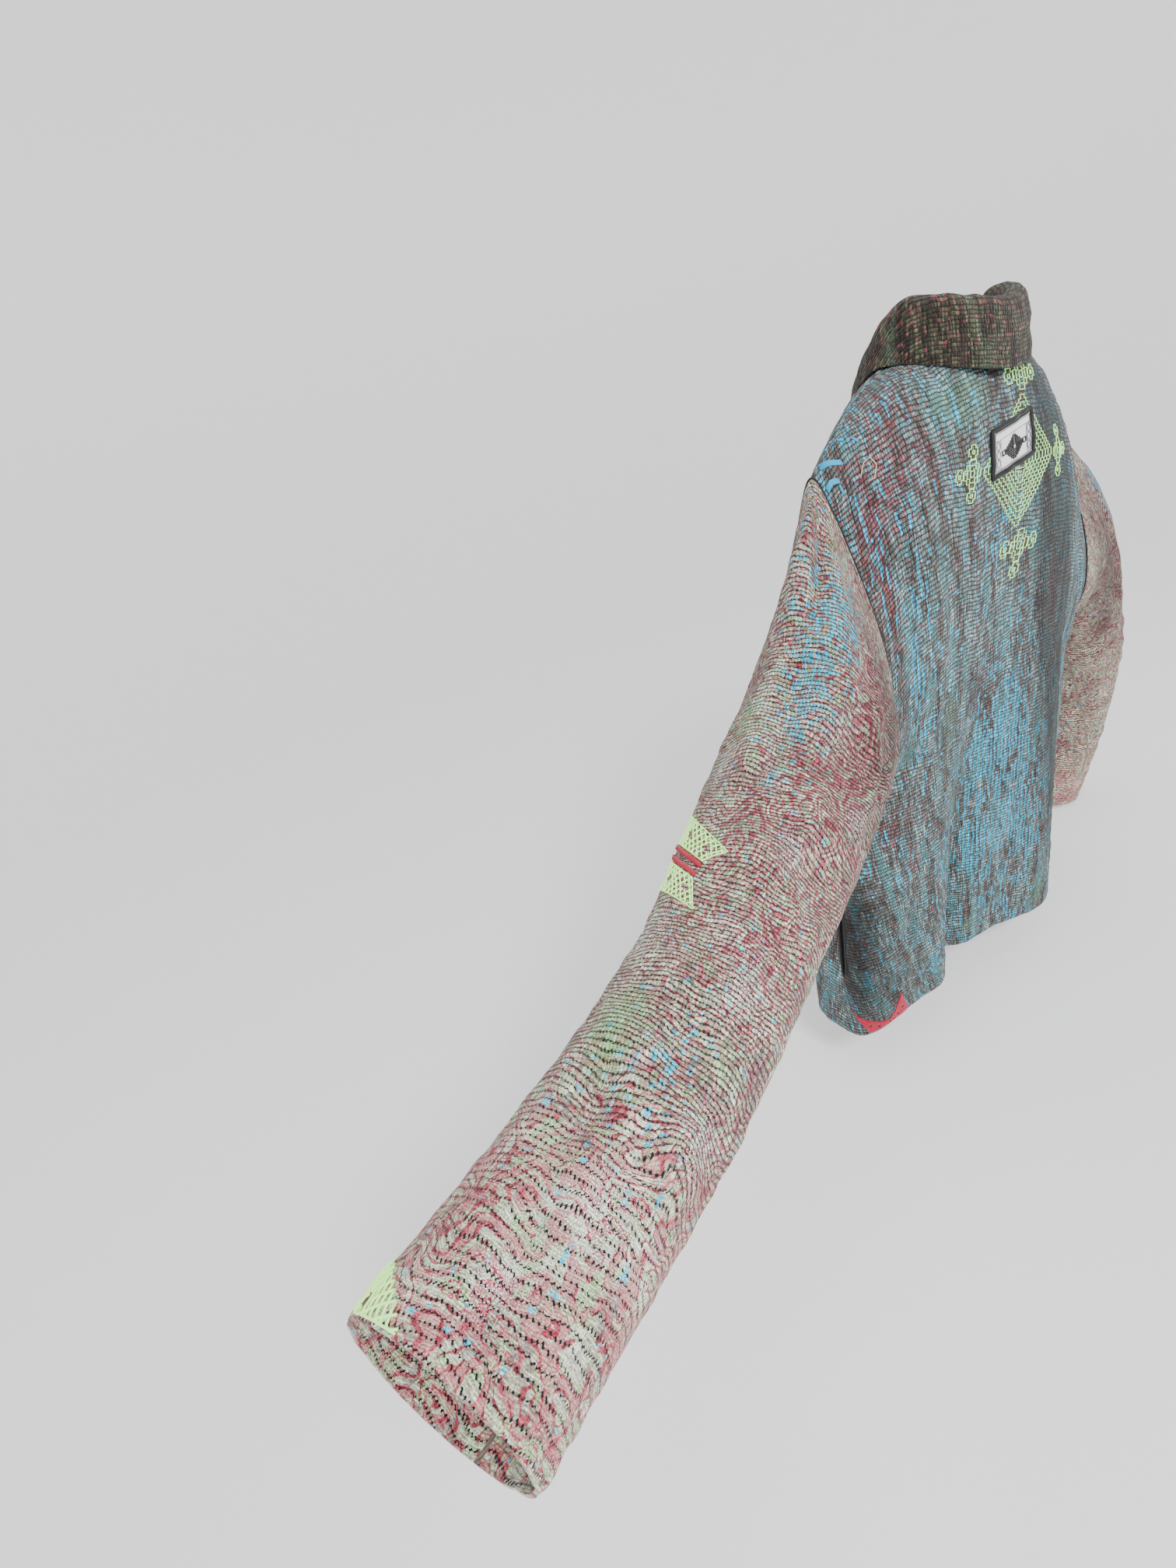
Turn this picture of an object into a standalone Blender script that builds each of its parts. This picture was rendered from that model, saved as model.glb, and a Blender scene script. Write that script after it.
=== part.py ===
# Kantha jacket, worn and hollow: a quilted cotton jacket with drop shoulders, a roll collar,
# an open front, a stitched patch and a pocket in each side seam.
# Metres, +Z up.  The front looks along -Y and the wearer's left side is +X.
# The origin is the middle of the neck at the height of the shoulders, where a wearer holds it up.
import bpy
import numpy as np

for old in list(bpy.data.objects):
    bpy.data.objects.remove(old, do_unlink=True)

# Cloth and seams
WALL = 0.0024            # quilted layers of cotton
SEAM_GAP = 0.0003        # pieces stand this far apart where they are sewn
ARMHOLE_GAP = 0.0004
PATCH_WALL = 0.0016
POCKET_WALL = 0.002

# Body
HEM_Z = -0.649
UNDERARM_Z = -0.338
TIP_Z = -0.068           # shoulder tip, the top of the armhole
ARM_X = 0.208            # the armhole seam lies in this upright plane
UNDERARM_X = 0.222
HEM_X = 0.281
HEM_FLARE = 0.8          # 1 is a straight side seam, less flares sooner below the underarm
UNDERARM_FLARE = 4       # how late the armhole leaves its upright plane
SIDE_Y = 0.015           # shoulder seam and side seam
SKIRT_TURN = 0.06        # the hem is turned a little about the body's axis
SQUARENESS = 3.0         # of the body's section where it is a closed ring

# Neck
NECK_X = 0.080
BACK_NECK_DROP = 0.022
BACK_NECK_Y = 0.072
FRONT_NECK_DROP = 0.085
FRONT_NECK_Y = -0.056
NECK_ROUND = 0.6         # 0.5 is an ellipse seen from above
FRONT_NECK_ROUND = 0.85  # of the drop
SHOULDER_CURVE = 1.5

# Armhole
ARMHOLE_BACK = 0.056     # how far the armhole reaches behind the shoulder seam
ARMHOLE_FRONT = 0.052
ARMHOLE_SCOOP = 0.60     # it is fuller below than above
# How the cloth comes over the top, at the neck and at the armhole: 1 is a round turn, a
# larger value slopes more and a smaller one is squarer
SHOULDER_ROUND = {"back": (0.55, 1.0), "front": (1.2, 2.2)}

# Centre line of the back and of the front, a row for each height
BACK_LINE = {"z": [-0.649, -0.45, -0.30, -0.10, -0.02],
             "y": [0.064, 0.076, 0.086, 0.092, 0.088]}
FRONT_LINE = {"z": [-0.649, -0.45, -0.30, -0.15, -0.06],
              "y": [-0.094, -0.100, -0.104, -0.098, -0.080]}
FRONT_GAP = {"z": [-0.649, -0.35, -0.08], "x": [0.030, 0.018, 0.010]}

# Folds of the body, a row for each: distance along the cloth from the centre of the back at
# its foot and at its head, height of the head, how far it stands out at the hem and at its
# head, and its half width at the hem and at its head
FOLDS = {
    "middle ridge": (-0.045, -0.045, -0.060, 0.052, 0.008, 0.051, 0.080),
    "left fold": (0.112, 0.070, -0.260, -0.036, 0.000, 0.0150, 0.022),
    "left ridge": (0.150, 0.105, -0.260, 0.008, 0.000, 0.022, 0.030),
    "right fold": (-0.160, -0.110, -0.240, -0.034, 0.000, 0.0190, 0.026),
    "shoulder ridge": (0.165, 0.150, -0.110, 0.003, 0.004, 0.018, 0.014),
    "left front fold": (0.400, 0.395, -0.300, -0.016, 0.000, 0.020, 0.022),
    "right front fold": (-0.410, -0.400, -0.260, -0.018, 0.000, 0.022, 0.024),
    "left front ridge": (0.460, 0.455, -0.280, 0.010, 0.000, 0.026, 0.028),
    "right front ridge": (-0.470, -0.460, -0.300, 0.009, 0.000, 0.026, 0.028),
}

FOLD_HEAD_FADE = 0.10    # a fold fades out over this height above its head
FOLD_EDGE_FADE = 0.05    # and over this much cloth beside the armhole
FOLD_TOP_FADE = 0.5      # and over this share of the armhole's height below the shoulder
RING_OPENS = 0.4         # share of the armhole's height over which the body stops being a ring

# Pocket slits in the side seams
SLIT_TOP_Z = -0.445
SLIT_FOOT_Z = -0.565
SLIT_HALF = 0.0020

# Sleeves, a row for each section: middle of the tube and its radius across and through
LEFT_SLEEVE = {
    "x": [0.212, 0.268, 0.334, 0.412, 0.490, 0.565, 0.636, 0.700, 0.758],
    "y": [0.010, 0.045, 0.080, 0.103, 0.125, 0.147, 0.167, 0.187, 0.205],
    "z": [-0.203, -0.224, -0.254, -0.287, -0.315, -0.332, -0.337, -0.335, -0.331],
    "high": [0.100, 0.090, 0.078, 0.0685, 0.0610, 0.0585, 0.0570, 0.0550, 0.0540],
    "deep": [0.060, 0.062, 0.066, 0.0650, 0.0605, 0.0580, 0.0560, 0.0545, 0.0535],
}
RIGHT_SLEEVE = {
    "x": [-0.212, -0.262, -0.306, -0.343, -0.371, -0.392, -0.405, -0.412, -0.415],
    "y": [0.010, 0.010, 0.012, 0.012, 0.010, 0.002, -0.010, -0.026, -0.042],
    "z": [-0.203, -0.233, -0.276, -0.336, -0.402, -0.476, -0.554, -0.630, -0.700],
    "high": [0.100, 0.090, 0.072, 0.063, 0.0590, 0.0565, 0.0550, 0.0540, 0.0530],
    "deep": [0.060, 0.063, 0.065, 0.065, 0.0630, 0.0600, 0.057, 0.0550, 0.0540],
}
SLEEVE_SETTLE = 0.30     # the armhole's egg shape fades out over this share of the sleeve
CREASE_TAPER = 1.6       # how soon a crease tapers off towards its ends

# Creases of the sleeves, a row for each: middle along the sleeve (0 to 1) and round it
# (degrees from the top, over the back), how far it stands out, half length and half width
LEFT_CREASES = {
    "outer trough": (0.34, 62, -0.0050, 0.16, 11),
    "underarm ridge": (0.14, 128, 0.0045, 0.10, 12),
    "elbow trough": (0.55, 215, -0.0060, 0.09, 18),
    "forearm crease": (0.86, 48, -0.0055, 0.15, 12),
    "front trough": (0.40, 285, -0.0055, 0.18, 14),
}
RIGHT_CREASES = {
    "outer trough": (0.36, 70, -0.0050, 0.16, 12),
    "underarm ridge": (0.16, 130, 0.0040, 0.10, 12),
    "elbow trough": (0.56, 200, -0.0060, 0.08, 18),
    "forearm crease": (0.84, 300, -0.0050, 0.14, 13),
    "front trough": (0.42, 265, -0.0050, 0.17, 14),
}

# Collar: a strip that rises from the neck seam, rolls over and falls outside it
COLLAR_WALL = 0.0042
COLLAR_ROLL = 0.0080     # half of the roll's depth
# Stand and fall from the middle of the back (0) past the shoulder (0.5) to the front (1)
COLLAR_CUT = {"share": [0.0, 0.25, 0.42, 0.5, 0.58, 0.7, 0.85, 1.0],
              "stand": [0.038, 0.037, 0.030, 0.021, 0.015, 0.013, 0.014, 0.016],
              "fall": [0.0425, 0.0400, 0.0260, 0.0155, 0.0100, 0.0085, 0.0110, 0.0160]}
COLLAR_LIFT = 0.0009     # clear of the body's cloth
COLLAR_LEAN = 0.004      # the stand leans towards the neck
COLLAR_FLARE = 0.003     # the fall's edge stands away from the stand by this much more

# Patch on the back, sewn a little slanting, left of the middle
PATCH_MIDDLE = (0.0165, -0.0875)   # along the cloth from the middle of the back, and height
PATCH_WIDE = 0.073
PATCH_HIGH = 0.043
PATCH_SLANT = 7.0        # degrees, its left end low
PATCH_CLEAR = 0.0004
PATCH_CELLS = (4, 6)     # up and across

# Pocket bags, flat, on the inside of each front beside the slit
POCKET_DEPTH = 0.135
POCKET_TOP_Z = -0.425
POCKET_FOOT_Z = -0.605
POCKET_CLEAR = 0.0004

# Grid of the solids
BODY_ROWS_BELOW = 11
ARMHOLE_STEPS = 12
BACK_COLUMNS = 44
FRONT_COLUMNS = 16
SLEEVE_RINGS = 22
COLLAR_STATIONS = 28
COLLAR_STEPS = 12
DENSE = 241              # points of the fine line that the columns are picked from
SLOPE_STEP = 0.001       # metres, for measuring a slope
TURN_WEIGHT = 0.035      # metres of cloth that a turn of one radian counts for, in spacing columns

SLEEVE_CLOTH = (0.42, 0.34, 0.33, 1.0)
BODY_CLOTH = (0.28, 0.33, 0.32, 1.0)
COLLAR_CLOTH = (0.36, 0.36, 0.33, 1.0)
PATCH_CLOTH = (0.62, 0.62, 0.64, 1.0)
POCKET_CLOTH = (0.03, 0.03, 0.04, 1.0)


def unit(vectors):
    """Vectors scaled to length one."""
    return vectors / np.maximum(np.linalg.norm(vectors, axis=-1, keepdims=True), 1e-12)


def smooth_step(t):
    """0 below 0, 1 above 1, with a smooth slope between."""
    t = np.clip(t, 0.0, 1.0)
    return t * t * (3.0 - 2.0 * t)


def through(rows, values, at):
    """Smooth curve through the rows of a table: cubic pieces with the rows' own mean slopes."""
    rows = np.asarray(rows, float)
    values = np.asarray(values, float)
    slopes = np.gradient(values, rows)
    at = np.clip(at, rows[0], rows[-1])
    i = np.clip(np.searchsorted(rows, at, side="right") - 1, 0, len(rows) - 2)
    span = rows[i + 1] - rows[i]
    t = (at - rows[i]) / span
    return ((2 * t ** 3 - 3 * t ** 2 + 1) * values[i] + (t ** 3 - 2 * t ** 2 + t) * span * slopes[i]
            + (3 * t ** 2 - 2 * t ** 3) * values[i + 1] + (t ** 3 - t ** 2) * span * slopes[i + 1])


def shoulder_z(x):
    """Height of the shoulder seam, from the neck out to the shoulder tip."""
    out = np.clip((np.abs(x) - NECK_X) / (ARM_X - NECK_X), 0.0, None)
    return TIP_Z * out ** SHOULDER_CURVE


def top_line(x, back):
    """Height and depth of a panel's top edge: the shoulder seam, then the neck's curve."""
    inside = np.clip(1.0 - (np.abs(x) / NECK_X) ** 2, 0.0, 1.0)
    if back:
        return (shoulder_z(x) - BACK_NECK_DROP * inside,
                SIDE_Y + (BACK_NECK_Y - SIDE_Y) * inside ** NECK_ROUND)
    return (shoulder_z(x) - FRONT_NECK_DROP * inside ** FRONT_NECK_ROUND,
            SIDE_Y + (FRONT_NECK_Y - SIDE_Y) * inside ** NECK_ROUND)


def armhole(angle, back):
    """Point of the armhole seam; angle 0 is the shoulder tip and pi the underarm."""
    low = (1.0 - np.cos(angle)) / 2.0
    x = ARM_X + (UNDERARM_X - ARM_X) * low ** UNDERARM_FLARE
    reach = ARMHOLE_BACK if back else -ARMHOLE_FRONT
    y = SIDE_Y + reach * np.sin(angle) * (1.0 - ARMHOLE_SCOOP * np.cos(angle))
    z = UNDERARM_Z + (TIP_Z - UNDERARM_Z) * (1.0 + np.cos(angle)) / 2.0
    return x, y, z


def body_row(v, back):
    """One row of the cloth as a fine line, from the left side round to the right (back), or
    from the left side seam to the middle (front).  v is 0 at the hem, 1 at the underarm and
    2 at the shoulder.  Returns the line and its distance along the cloth from the middle."""
    lift = max(v - 1.0, 0.0)
    angle = np.pi * (1.0 - lift)
    rise = (1.0 + np.cos(angle)) / 2.0
    drop = 1.0 - min(v, 1.0)
    z_side = HEM_Z + (UNDERARM_Z - HEM_Z) * min(v, 1.0)
    side_x, side_y, _ = armhole(angle, back)
    if lift == 0.0:
        side_x = UNDERARM_X + (HEM_X - UNDERARM_X) * drop ** HEM_FLARE
        side_y = SIDE_Y
    turns = np.linspace(-1.0, 1.0, DENSE) if back else np.linspace(-1.0, 0.0, DENSE)
    x = -side_x * np.sin(turns * np.pi / 2.0)
    share = np.abs(x) / side_x
    top_z, top_y = top_line(x, back)
    z = z_side + (top_z - UNDERARM_Z) * rise
    line = BACK_LINE if back else FRONT_LINE
    middle_y = through(line["z"], line["y"], z)
    bulge = 1.0 / SQUARENESS + (1.0 - 1.0 / SQUARENESS) * smooth_step(lift / RING_OPENS)
    at_neck, at_arm = SHOULDER_ROUND["back" if back else "front"]
    high = np.sin(min(angle, np.pi / 2.0))
    over = high ** (at_neck + (at_arm - at_neck) * share ** 2)
    edge_y = SIDE_Y + (side_y - SIDE_Y) / max(high ** at_arm, 1e-6)
    full_y = edge_y + (middle_y - edge_y) * np.clip(1.0 - share ** SQUARENESS, 0.0, 1.0) ** bulge
    y = top_y + (full_y - top_y) * over
    y = y + SKIRT_TURN * x * drop
    points = np.stack([x, y, z], axis=1)
    steps = np.linalg.norm(np.diff(points[:, :2], axis=0), axis=1)
    length = np.concatenate([[0.0], np.cumsum(steps)])
    return points, length


def back_half(v):
    """Length of cloth from the middle of the back to the side, on the unfolded row."""
    _, length = body_row(v, True)
    return length[-1] / 2.0


def fold_row(points, along, z, drop_fade):
    """The row moved out or in, square to itself, by the folds that cross it."""
    tangent = unit(np.gradient(points[:, :2], axis=0))
    outward = np.stack([-tangent[:, 1], tangent[:, 0]], axis=1)
    if np.sum(outward * points[:, :2]) < 0:
        outward = -outward
    move = np.zeros(len(points))
    for foot, head, head_z, out_foot, out_head, wide_foot, wide_head in FOLDS.values():
        t = np.clip((head_z - z) / (head_z - HEM_Z), 0.0, 1.0)
        place = head + (foot - head) * t
        wide = wide_head + (wide_foot - wide_head) * t
        above = smooth_step(1.0 - (z - head_z) / FOLD_HEAD_FADE)
        out = (out_head + (out_foot - out_head) * t) * above
        move += out * np.exp(-0.5 * ((along - place) / wide) ** 2)
    folded = points.copy()
    folded[:, :2] += outward * (move * drop_fade)[:, None]
    return folded


def panel_line(v, panel):
    """The fine, folded line of one panel at row v, from its left edge to its right edge."""
    back = panel == "back"
    points, length = body_row(v, back)
    half = back_half(v)
    if back:
        along = half - length
    else:
        along = half + length
        if panel == "front_right":
            points = points * np.array([-1.0, 1.0, 1.0])
            turn = SKIRT_TURN * (1.0 - min(v, 1.0))
            points[:, 1] += 2.0 * turn * points[:, 0]
            along = -along
    edge_fade = 1.0
    if v > 1.0:
        from_edge = np.minimum(length, length[-1] - length) if back else length
        edge_fade = smooth_step(from_edge / FOLD_EDGE_FADE) * smooth_step((2.0 - v) / FOLD_TOP_FADE)
    points = fold_row(points, along, points[:, 2], edge_fade)
    if not back:
        side = 1.0 if panel == "front_left" else -1.0
        gap = through(FRONT_GAP["z"], FRONT_GAP["x"], points[:, 2])
        keep = side * points[:, 0] >= gap
        last = int(np.argmax(~keep)) if np.any(~keep) else len(points)
        edge = points[last - 1].copy()
        edge[0] = side * gap[last - 1]
        points = np.vstack([points[:last], edge])
    return points


def spacing(line, columns):
    """Shares of a line's length for the columns: closer together where the cloth bends."""
    step = np.diff(line[:, :2], axis=0)
    size = np.linalg.norm(step, axis=1)
    heading = np.unwrap(np.arctan2(step[:, 1], step[:, 0]))
    weight = size + TURN_WEIGHT * np.abs(np.gradient(heading))
    total = np.concatenate([[0.0], np.cumsum(weight)])
    length = np.concatenate([[0.0], np.cumsum(size)])
    even = np.linspace(0.0, total[-1], columns)
    return np.interp(even, total, length) / length[-1]


def pick(line, shares):
    """Points of a line at shares of its length."""
    size = np.linalg.norm(np.diff(line, axis=0), axis=1)
    length = np.concatenate([[0.0], np.cumsum(size)])
    at = shares * length[-1]
    return np.stack([np.interp(at, length, line[:, k]) for k in range(3)], axis=1)


def row_values():
    """Rows of the body's grids, from the hem to the shoulder."""
    below = np.linspace(0.0, 1.0, BODY_ROWS_BELOW + 1)
    above = 1.0 + np.linspace(0.0, 1.0, ARMHOLE_STEPS + 1)[1:]
    return np.concatenate([below, above])


def panel_grid(panel, columns):
    """Grid of one panel's outer surface, a row for each height."""
    shares = spacing(panel_line(0.0, panel), columns)
    return np.array([pick(panel_line(v, panel), shares) for v in row_values()])


def grid_normals(grid, ring=False):
    """Square to the cloth at each point of a grid, pointing away from the hollow."""
    down = np.gradient(grid, axis=0)
    if ring:
        across = np.roll(grid, -1, axis=1) - np.roll(grid, 1, axis=1)
    else:
        across = np.gradient(grid, axis=1)
    normals = unit(np.cross(across, down))
    return normals


def face_out(normals, grid, centre):
    """Turns a whole field of normals to point away from a centre."""
    if np.sum(normals * (grid - centre)) < 0:
        return -normals
    return normals


def sleeve_grid(table, creases, side):
    """Rings of the sleeve, from the armhole to the cuff.  Ring points start at the top and
    run over the back.  Returns the rings and their normals."""
    count = 2 * ARMHOLE_STEPS
    turn = np.arange(count) * np.pi / ARMHOLE_STEPS
    hole = []
    for a in turn:
        back = a <= np.pi
        x, y, z = armhole(a if back else 2.0 * np.pi - a, back)
        hole.append([side * x, y, z])
    hole = np.array(hole)
    rows = np.linspace(0.0, 1.0, len(table["x"]))
    at = np.linspace(0.0, 1.0, SLEEVE_RINGS + 1)
    path = np.stack([through(rows, table[k], at) for k in ("x", "y", "z")], axis=1)
    high = through(rows, table["high"], at)
    deep = through(rows, table["deep"], at)
    along = unit(np.gradient(path, axis=0))
    up = np.array([0.0, 0.0, 1.0])
    rings = []
    for k, s in enumerate(at):
        settle = smooth_step(s / SLEEVE_SETTLE)
        square_up = unit(up - along[k] * along[k][2])
        square_back = unit(np.cross(square_up, along[k]) * side)
        lean_up = unit(up * (1.0 - settle) + square_up * settle)
        lean_back = unit(np.array([0.0, 1.0, 0.0]) * (1.0 - settle) + square_back * settle)
        offset = hole - path[0]
        round_part = (high[k] * np.cos(turn)[:, None] * lean_up
                      + deep[k] * np.sin(turn)[:, None] * lean_back)
        shrink_up = high[k] / high[0]
        shrink_back = deep[k] / deep[0]
        hole_part = (offset[:, 2:3] * shrink_up * lean_up + offset[:, 1:2] * shrink_back * lean_back
                     + offset[:, 0:1] * (1.0 - settle) * np.array([1.0, 0.0, 0.0]))
        shape = hole_part * (1.0 - settle) + round_part * settle
        rings.append(path[k] + shape)
    rings = np.array(rings)
    rings[0] = hole
    out = face_out(grid_normals(rings, ring=True), rings, path[:, None, :])
    move = np.zeros(rings.shape[:2])
    degrees = np.degrees(turn)
    for middle, round_at, stand, half_long, half_wide in creases.values():
        far = (degrees - round_at + 180.0) % 360.0 - 180.0
        move += stand * (np.exp(-0.5 * ((at - middle) / half_long * CREASE_TAPER) ** 2)[:, None]
                         * np.exp(-0.5 * (far / half_wide) ** 2)[None, :])
    move[0] = 0.0
    rings = rings + out * move[..., None]
    out = face_out(grid_normals(rings, ring=True), rings, path[:, None, :])
    return rings, out


def add_material(obj, name, colour, roughness):
    """Gives an object a plain cloth material."""
    material = bpy.data.materials.new(name)
    material.use_nodes = True
    shader = material.node_tree.nodes["Principled BSDF"]
    shader.inputs["Base Color"].default_value = colour
    shader.inputs["Roughness"].default_value = roughness
    shader.inputs["Metallic"].default_value = 0.0
    obj.data.materials.append(material)


def add_wall(collection, name, outer, inner, colour, roughness=0.9, ring=False):
    """A closed wall of cloth between an outer and an inner grid of the same size: a loft
    between unlike sections, whose edges lean the way that the seam beside them leans."""
    rows, columns = outer.shape[:2]
    points = np.concatenate([outer.reshape(-1, 3), inner.reshape(-1, 3)])
    shift = rows * columns
    spans = columns if ring else columns - 1
    faces = []

    def quad(a, b, c, d):
        faces.append((a, b, c))
        faces.append((a, c, d))

    for i in range(rows - 1):
        for j in range(spans):
            k = (j + 1) % columns
            a, b = i * columns + j, i * columns + k
            c, d = (i + 1) * columns + k, (i + 1) * columns + j
            quad(a, b, c, d)
            faces.append((a + shift, c + shift, b + shift))
            faces.append((a + shift, d + shift, c + shift))
    for j in range(spans):
        k = (j + 1) % columns
        last = (rows - 1) * columns
        quad(k, j, j + shift, k + shift)
        quad(last + j, last + k, last + k + shift, last + j + shift)
    if not ring:
        for i in range(rows - 1):
            a, b = i * columns, (i + 1) * columns
            quad(a, b, b + shift, a + shift)
            a, b = a + columns - 1, b + columns - 1
            quad(b, a, a + shift, b + shift)
    p = points[np.array(faces)]
    volume = np.sum(p[:, 0] * np.cross(p[:, 1], p[:, 2]))
    if volume < 0:
        faces = [face[::-1] for face in faces]
    mesh = bpy.data.meshes.new(name)
    mesh.from_pydata([tuple(q) for q in points], [], faces)
    mesh.validate()
    mesh.shade_smooth()
    mesh.set_sharp_from_angle(angle=np.radians(50.0))
    obj = bpy.data.objects.new(name, mesh)
    collection.objects.link(obj)
    add_material(obj, name + "_cloth", colour, roughness)
    return obj


def part_seam(points, lean, toward, gap):
    """Moves seam points half a gap away from the other piece, square to the seam's lean."""
    run = unit(np.gradient(points, axis=0))
    aside = unit(np.cross(run, lean))
    aside = np.where(np.sum(aside * toward, axis=1, keepdims=True) < 0, -aside, aside)
    gap = np.broadcast_to(np.asarray(gap, float).reshape(-1, 1), (len(points), 1))
    return points - aside * gap


def build():
    """Body panels and sleeves, parted by half a gap on each side of every seam."""
    collection = bpy.data.collections.new("kantha_jacket")
    bpy.context.scene.collection.children.link(collection)

    grids = {"back": panel_grid("back", BACK_COLUMNS),
             "front_left": panel_grid("front_left", FRONT_COLUMNS),
             "front_right": panel_grid("front_right", FRONT_COLUMNS)}
    normals = {}
    for name, grid in grids.items():
        level = grid.copy()
        level[..., :2] = 0.0
        normals[name] = face_out(grid_normals(grid), grid, level)
    sleeves = {"left": sleeve_grid(LEFT_SLEEVE, LEFT_CREASES, 1.0),
               "right": sleeve_grid(RIGHT_SLEEVE, RIGHT_CREASES, -1.0)}

    # Shoulder seams: both panels lean square to the seam, in the upright plane along X
    for name, grid in grids.items():
        x = grid[-1, :, 0]
        on_seam = np.abs(x) >= NECK_X
        rise = shoulder_z(np.abs(x) + SLOPE_STEP) - shoulder_z(np.abs(x) - SLOPE_STEP)
        slope = rise / (2.0 * SLOPE_STEP)
        square = unit(np.stack([-slope * np.sign(x), np.zeros(len(x)), np.ones(len(x))], axis=1))
        normals[name][-1, on_seam] = square[on_seam]
        toward = -1.0 if name == "back" else 1.0
        grid[-1, on_seam, 1] -= toward * SEAM_GAP / 2.0

    under = BODY_ROWS_BELOW
    seam_z = grids["back"][:under + 1, 0, 2]
    mouth = (seam_z - SLIT_FOOT_Z) / (SLIT_TOP_Z - SLIT_FOOT_Z)
    slit = SLIT_HALF * np.clip(4.0 * mouth * (1.0 - mouth), 0.0, 1.0) ** 0.5
    for side, front, back_column in ((1.0, "front_left", 0), (-1.0, "front_right", -1)):
        # Side seam
        back_grid, front_grid = grids["back"], grids[front]
        lean = unit(normals["back"][:under + 1, back_column] + normals[front][:under + 1, 0])
        seam = back_grid[:under + 1, back_column].copy()
        half_gap = SEAM_GAP / 2.0 + slit
        forward = np.array([0.0, -1.0, 0.0])
        back_seam = part_seam(seam, lean, forward, half_gap)
        front_seam = part_seam(seam, lean, -forward, half_gap)

        # Armhole seam, where three pieces meet: all lean midway between body and sleeve
        rings, ring_normals = sleeves["left" if side > 0 else "right"]
        steps = np.arange(ARMHOLE_STEPS, -1, -1)
        body_lean = np.zeros_like(ring_normals[0])
        body_lean[steps] += normals["back"][under:, back_column]
        body_lean[(-steps) % (2 * ARMHOLE_STEPS)] += normals[front][under:, 0]
        hole_lean = unit(unit(body_lean) + ring_normals[0])
        for corner in (0, ARMHOLE_STEPS):
            hole_lean[corner, 1] = 0.0
        hole_lean = unit(hole_lean)
        run = unit(np.roll(rings[0], -1, axis=0) - np.roll(rings[0], 1, axis=0))
        aside = unit(np.cross(run, hole_lean))
        aside = np.where(aside[:, :1] * side < 0, -aside, aside) * ARMHOLE_GAP / 2.0
        for panel, column, ring_at in (("back", back_column, steps),
                                       (front, 0, (-steps) % (2 * ARMHOLE_STEPS))):
            grids[panel][under:, column] = rings[0, ring_at] - aside[ring_at]
            normals[panel][under:, column] = hole_lean[ring_at]
        rings[0] = rings[0] + aside
        ring_normals[0] = hole_lean
        back_grid[:under, back_column] = back_seam[:under]
        front_grid[:under, 0] = front_seam[:under]
        normals["back"][:under, back_column] = lean[:under]
        normals[front][:under, 0] = lean[:under]
        for corner in (under, -1):
            back_grid[corner, back_column, 1] += SEAM_GAP / 2.0
            front_grid[corner, 0, 1] -= SEAM_GAP / 2.0

    for name, grid in grids.items():
        add_wall(collection, name, grid, grid - normals[name] * WALL, BODY_CLOTH)
    for side_name, (rings, ring_normals) in sleeves.items():
        add_wall(collection, "sleeve_" + side_name, rings, rings - ring_normals * WALL,
                 SLEEVE_CLOTH, ring=True)
    return collection, grids, normals


def neck_path(share):
    """The neck seam from the left front edge round the back to the right front edge.
    share runs from -1 (left front) over 0 (middle of the back) to 1 (right front)."""
    side = np.where(share < 0, 1.0, -1.0)
    turn = np.abs(share) * np.pi
    back_part = turn <= np.pi / 2.0
    x = NECK_X * np.sin(turn)
    front_x = FRONT_GAP["x"][-1]
    x = np.where(back_part, x, np.maximum(x, front_x))
    back_z, back_y = top_line(x, True)
    front_z, front_y = top_line(x, False)
    return np.stack([side * x, np.where(back_part, back_y, front_y),
                     np.where(back_part, back_z, front_z)], axis=1)


def add_collar(collection):
    """Section of the strip, from the seam up the stand, over the roll and down the fall; the
    section stands in the upright plane that points away from the middle of the neck."""
    front_end = 1.0 - np.arcsin(FRONT_GAP["x"][-1] / NECK_X) / np.pi
    share = np.linspace(-front_end, front_end, COLLAR_STATIONS + 1)
    seam = neck_path(share)
    run = np.gradient(seam, axis=0)
    away = unit(np.stack([run[:, 1], -run[:, 0], np.zeros(len(run))], axis=1))
    away = np.where(np.sum(away * seam, axis=1, keepdims=True) < 0, -away, away)
    stand = through(COLLAR_CUT["share"], COLLAR_CUT["stand"], np.abs(share))
    fall = through(COLLAR_CUT["share"], COLLAR_CUT["fall"], np.abs(share))
    outer = []
    inner = []
    for k in range(len(seam)):
        base = seam[k] + np.array([0.0, 0.0, COLLAR_LIFT])
        profile = collar_section(stand[k], fall[k])
        line = base + profile[:, :1] * away[k] + profile[:, 1:] * np.array([0.0, 0.0, 1.0])
        heading = unit(np.gradient(profile, axis=0))
        square = np.stack([-heading[:, 1], heading[:, 0]], axis=1)
        offset = square[:, :1] * away[k] + square[:, 1:] * np.array([0.0, 0.0, 1.0])
        outer.append(line)
        inner.append(line + offset * COLLAR_WALL)
    return add_wall(collection, "collar", np.array(outer), np.array(inner), COLLAR_CLOTH)


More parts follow.
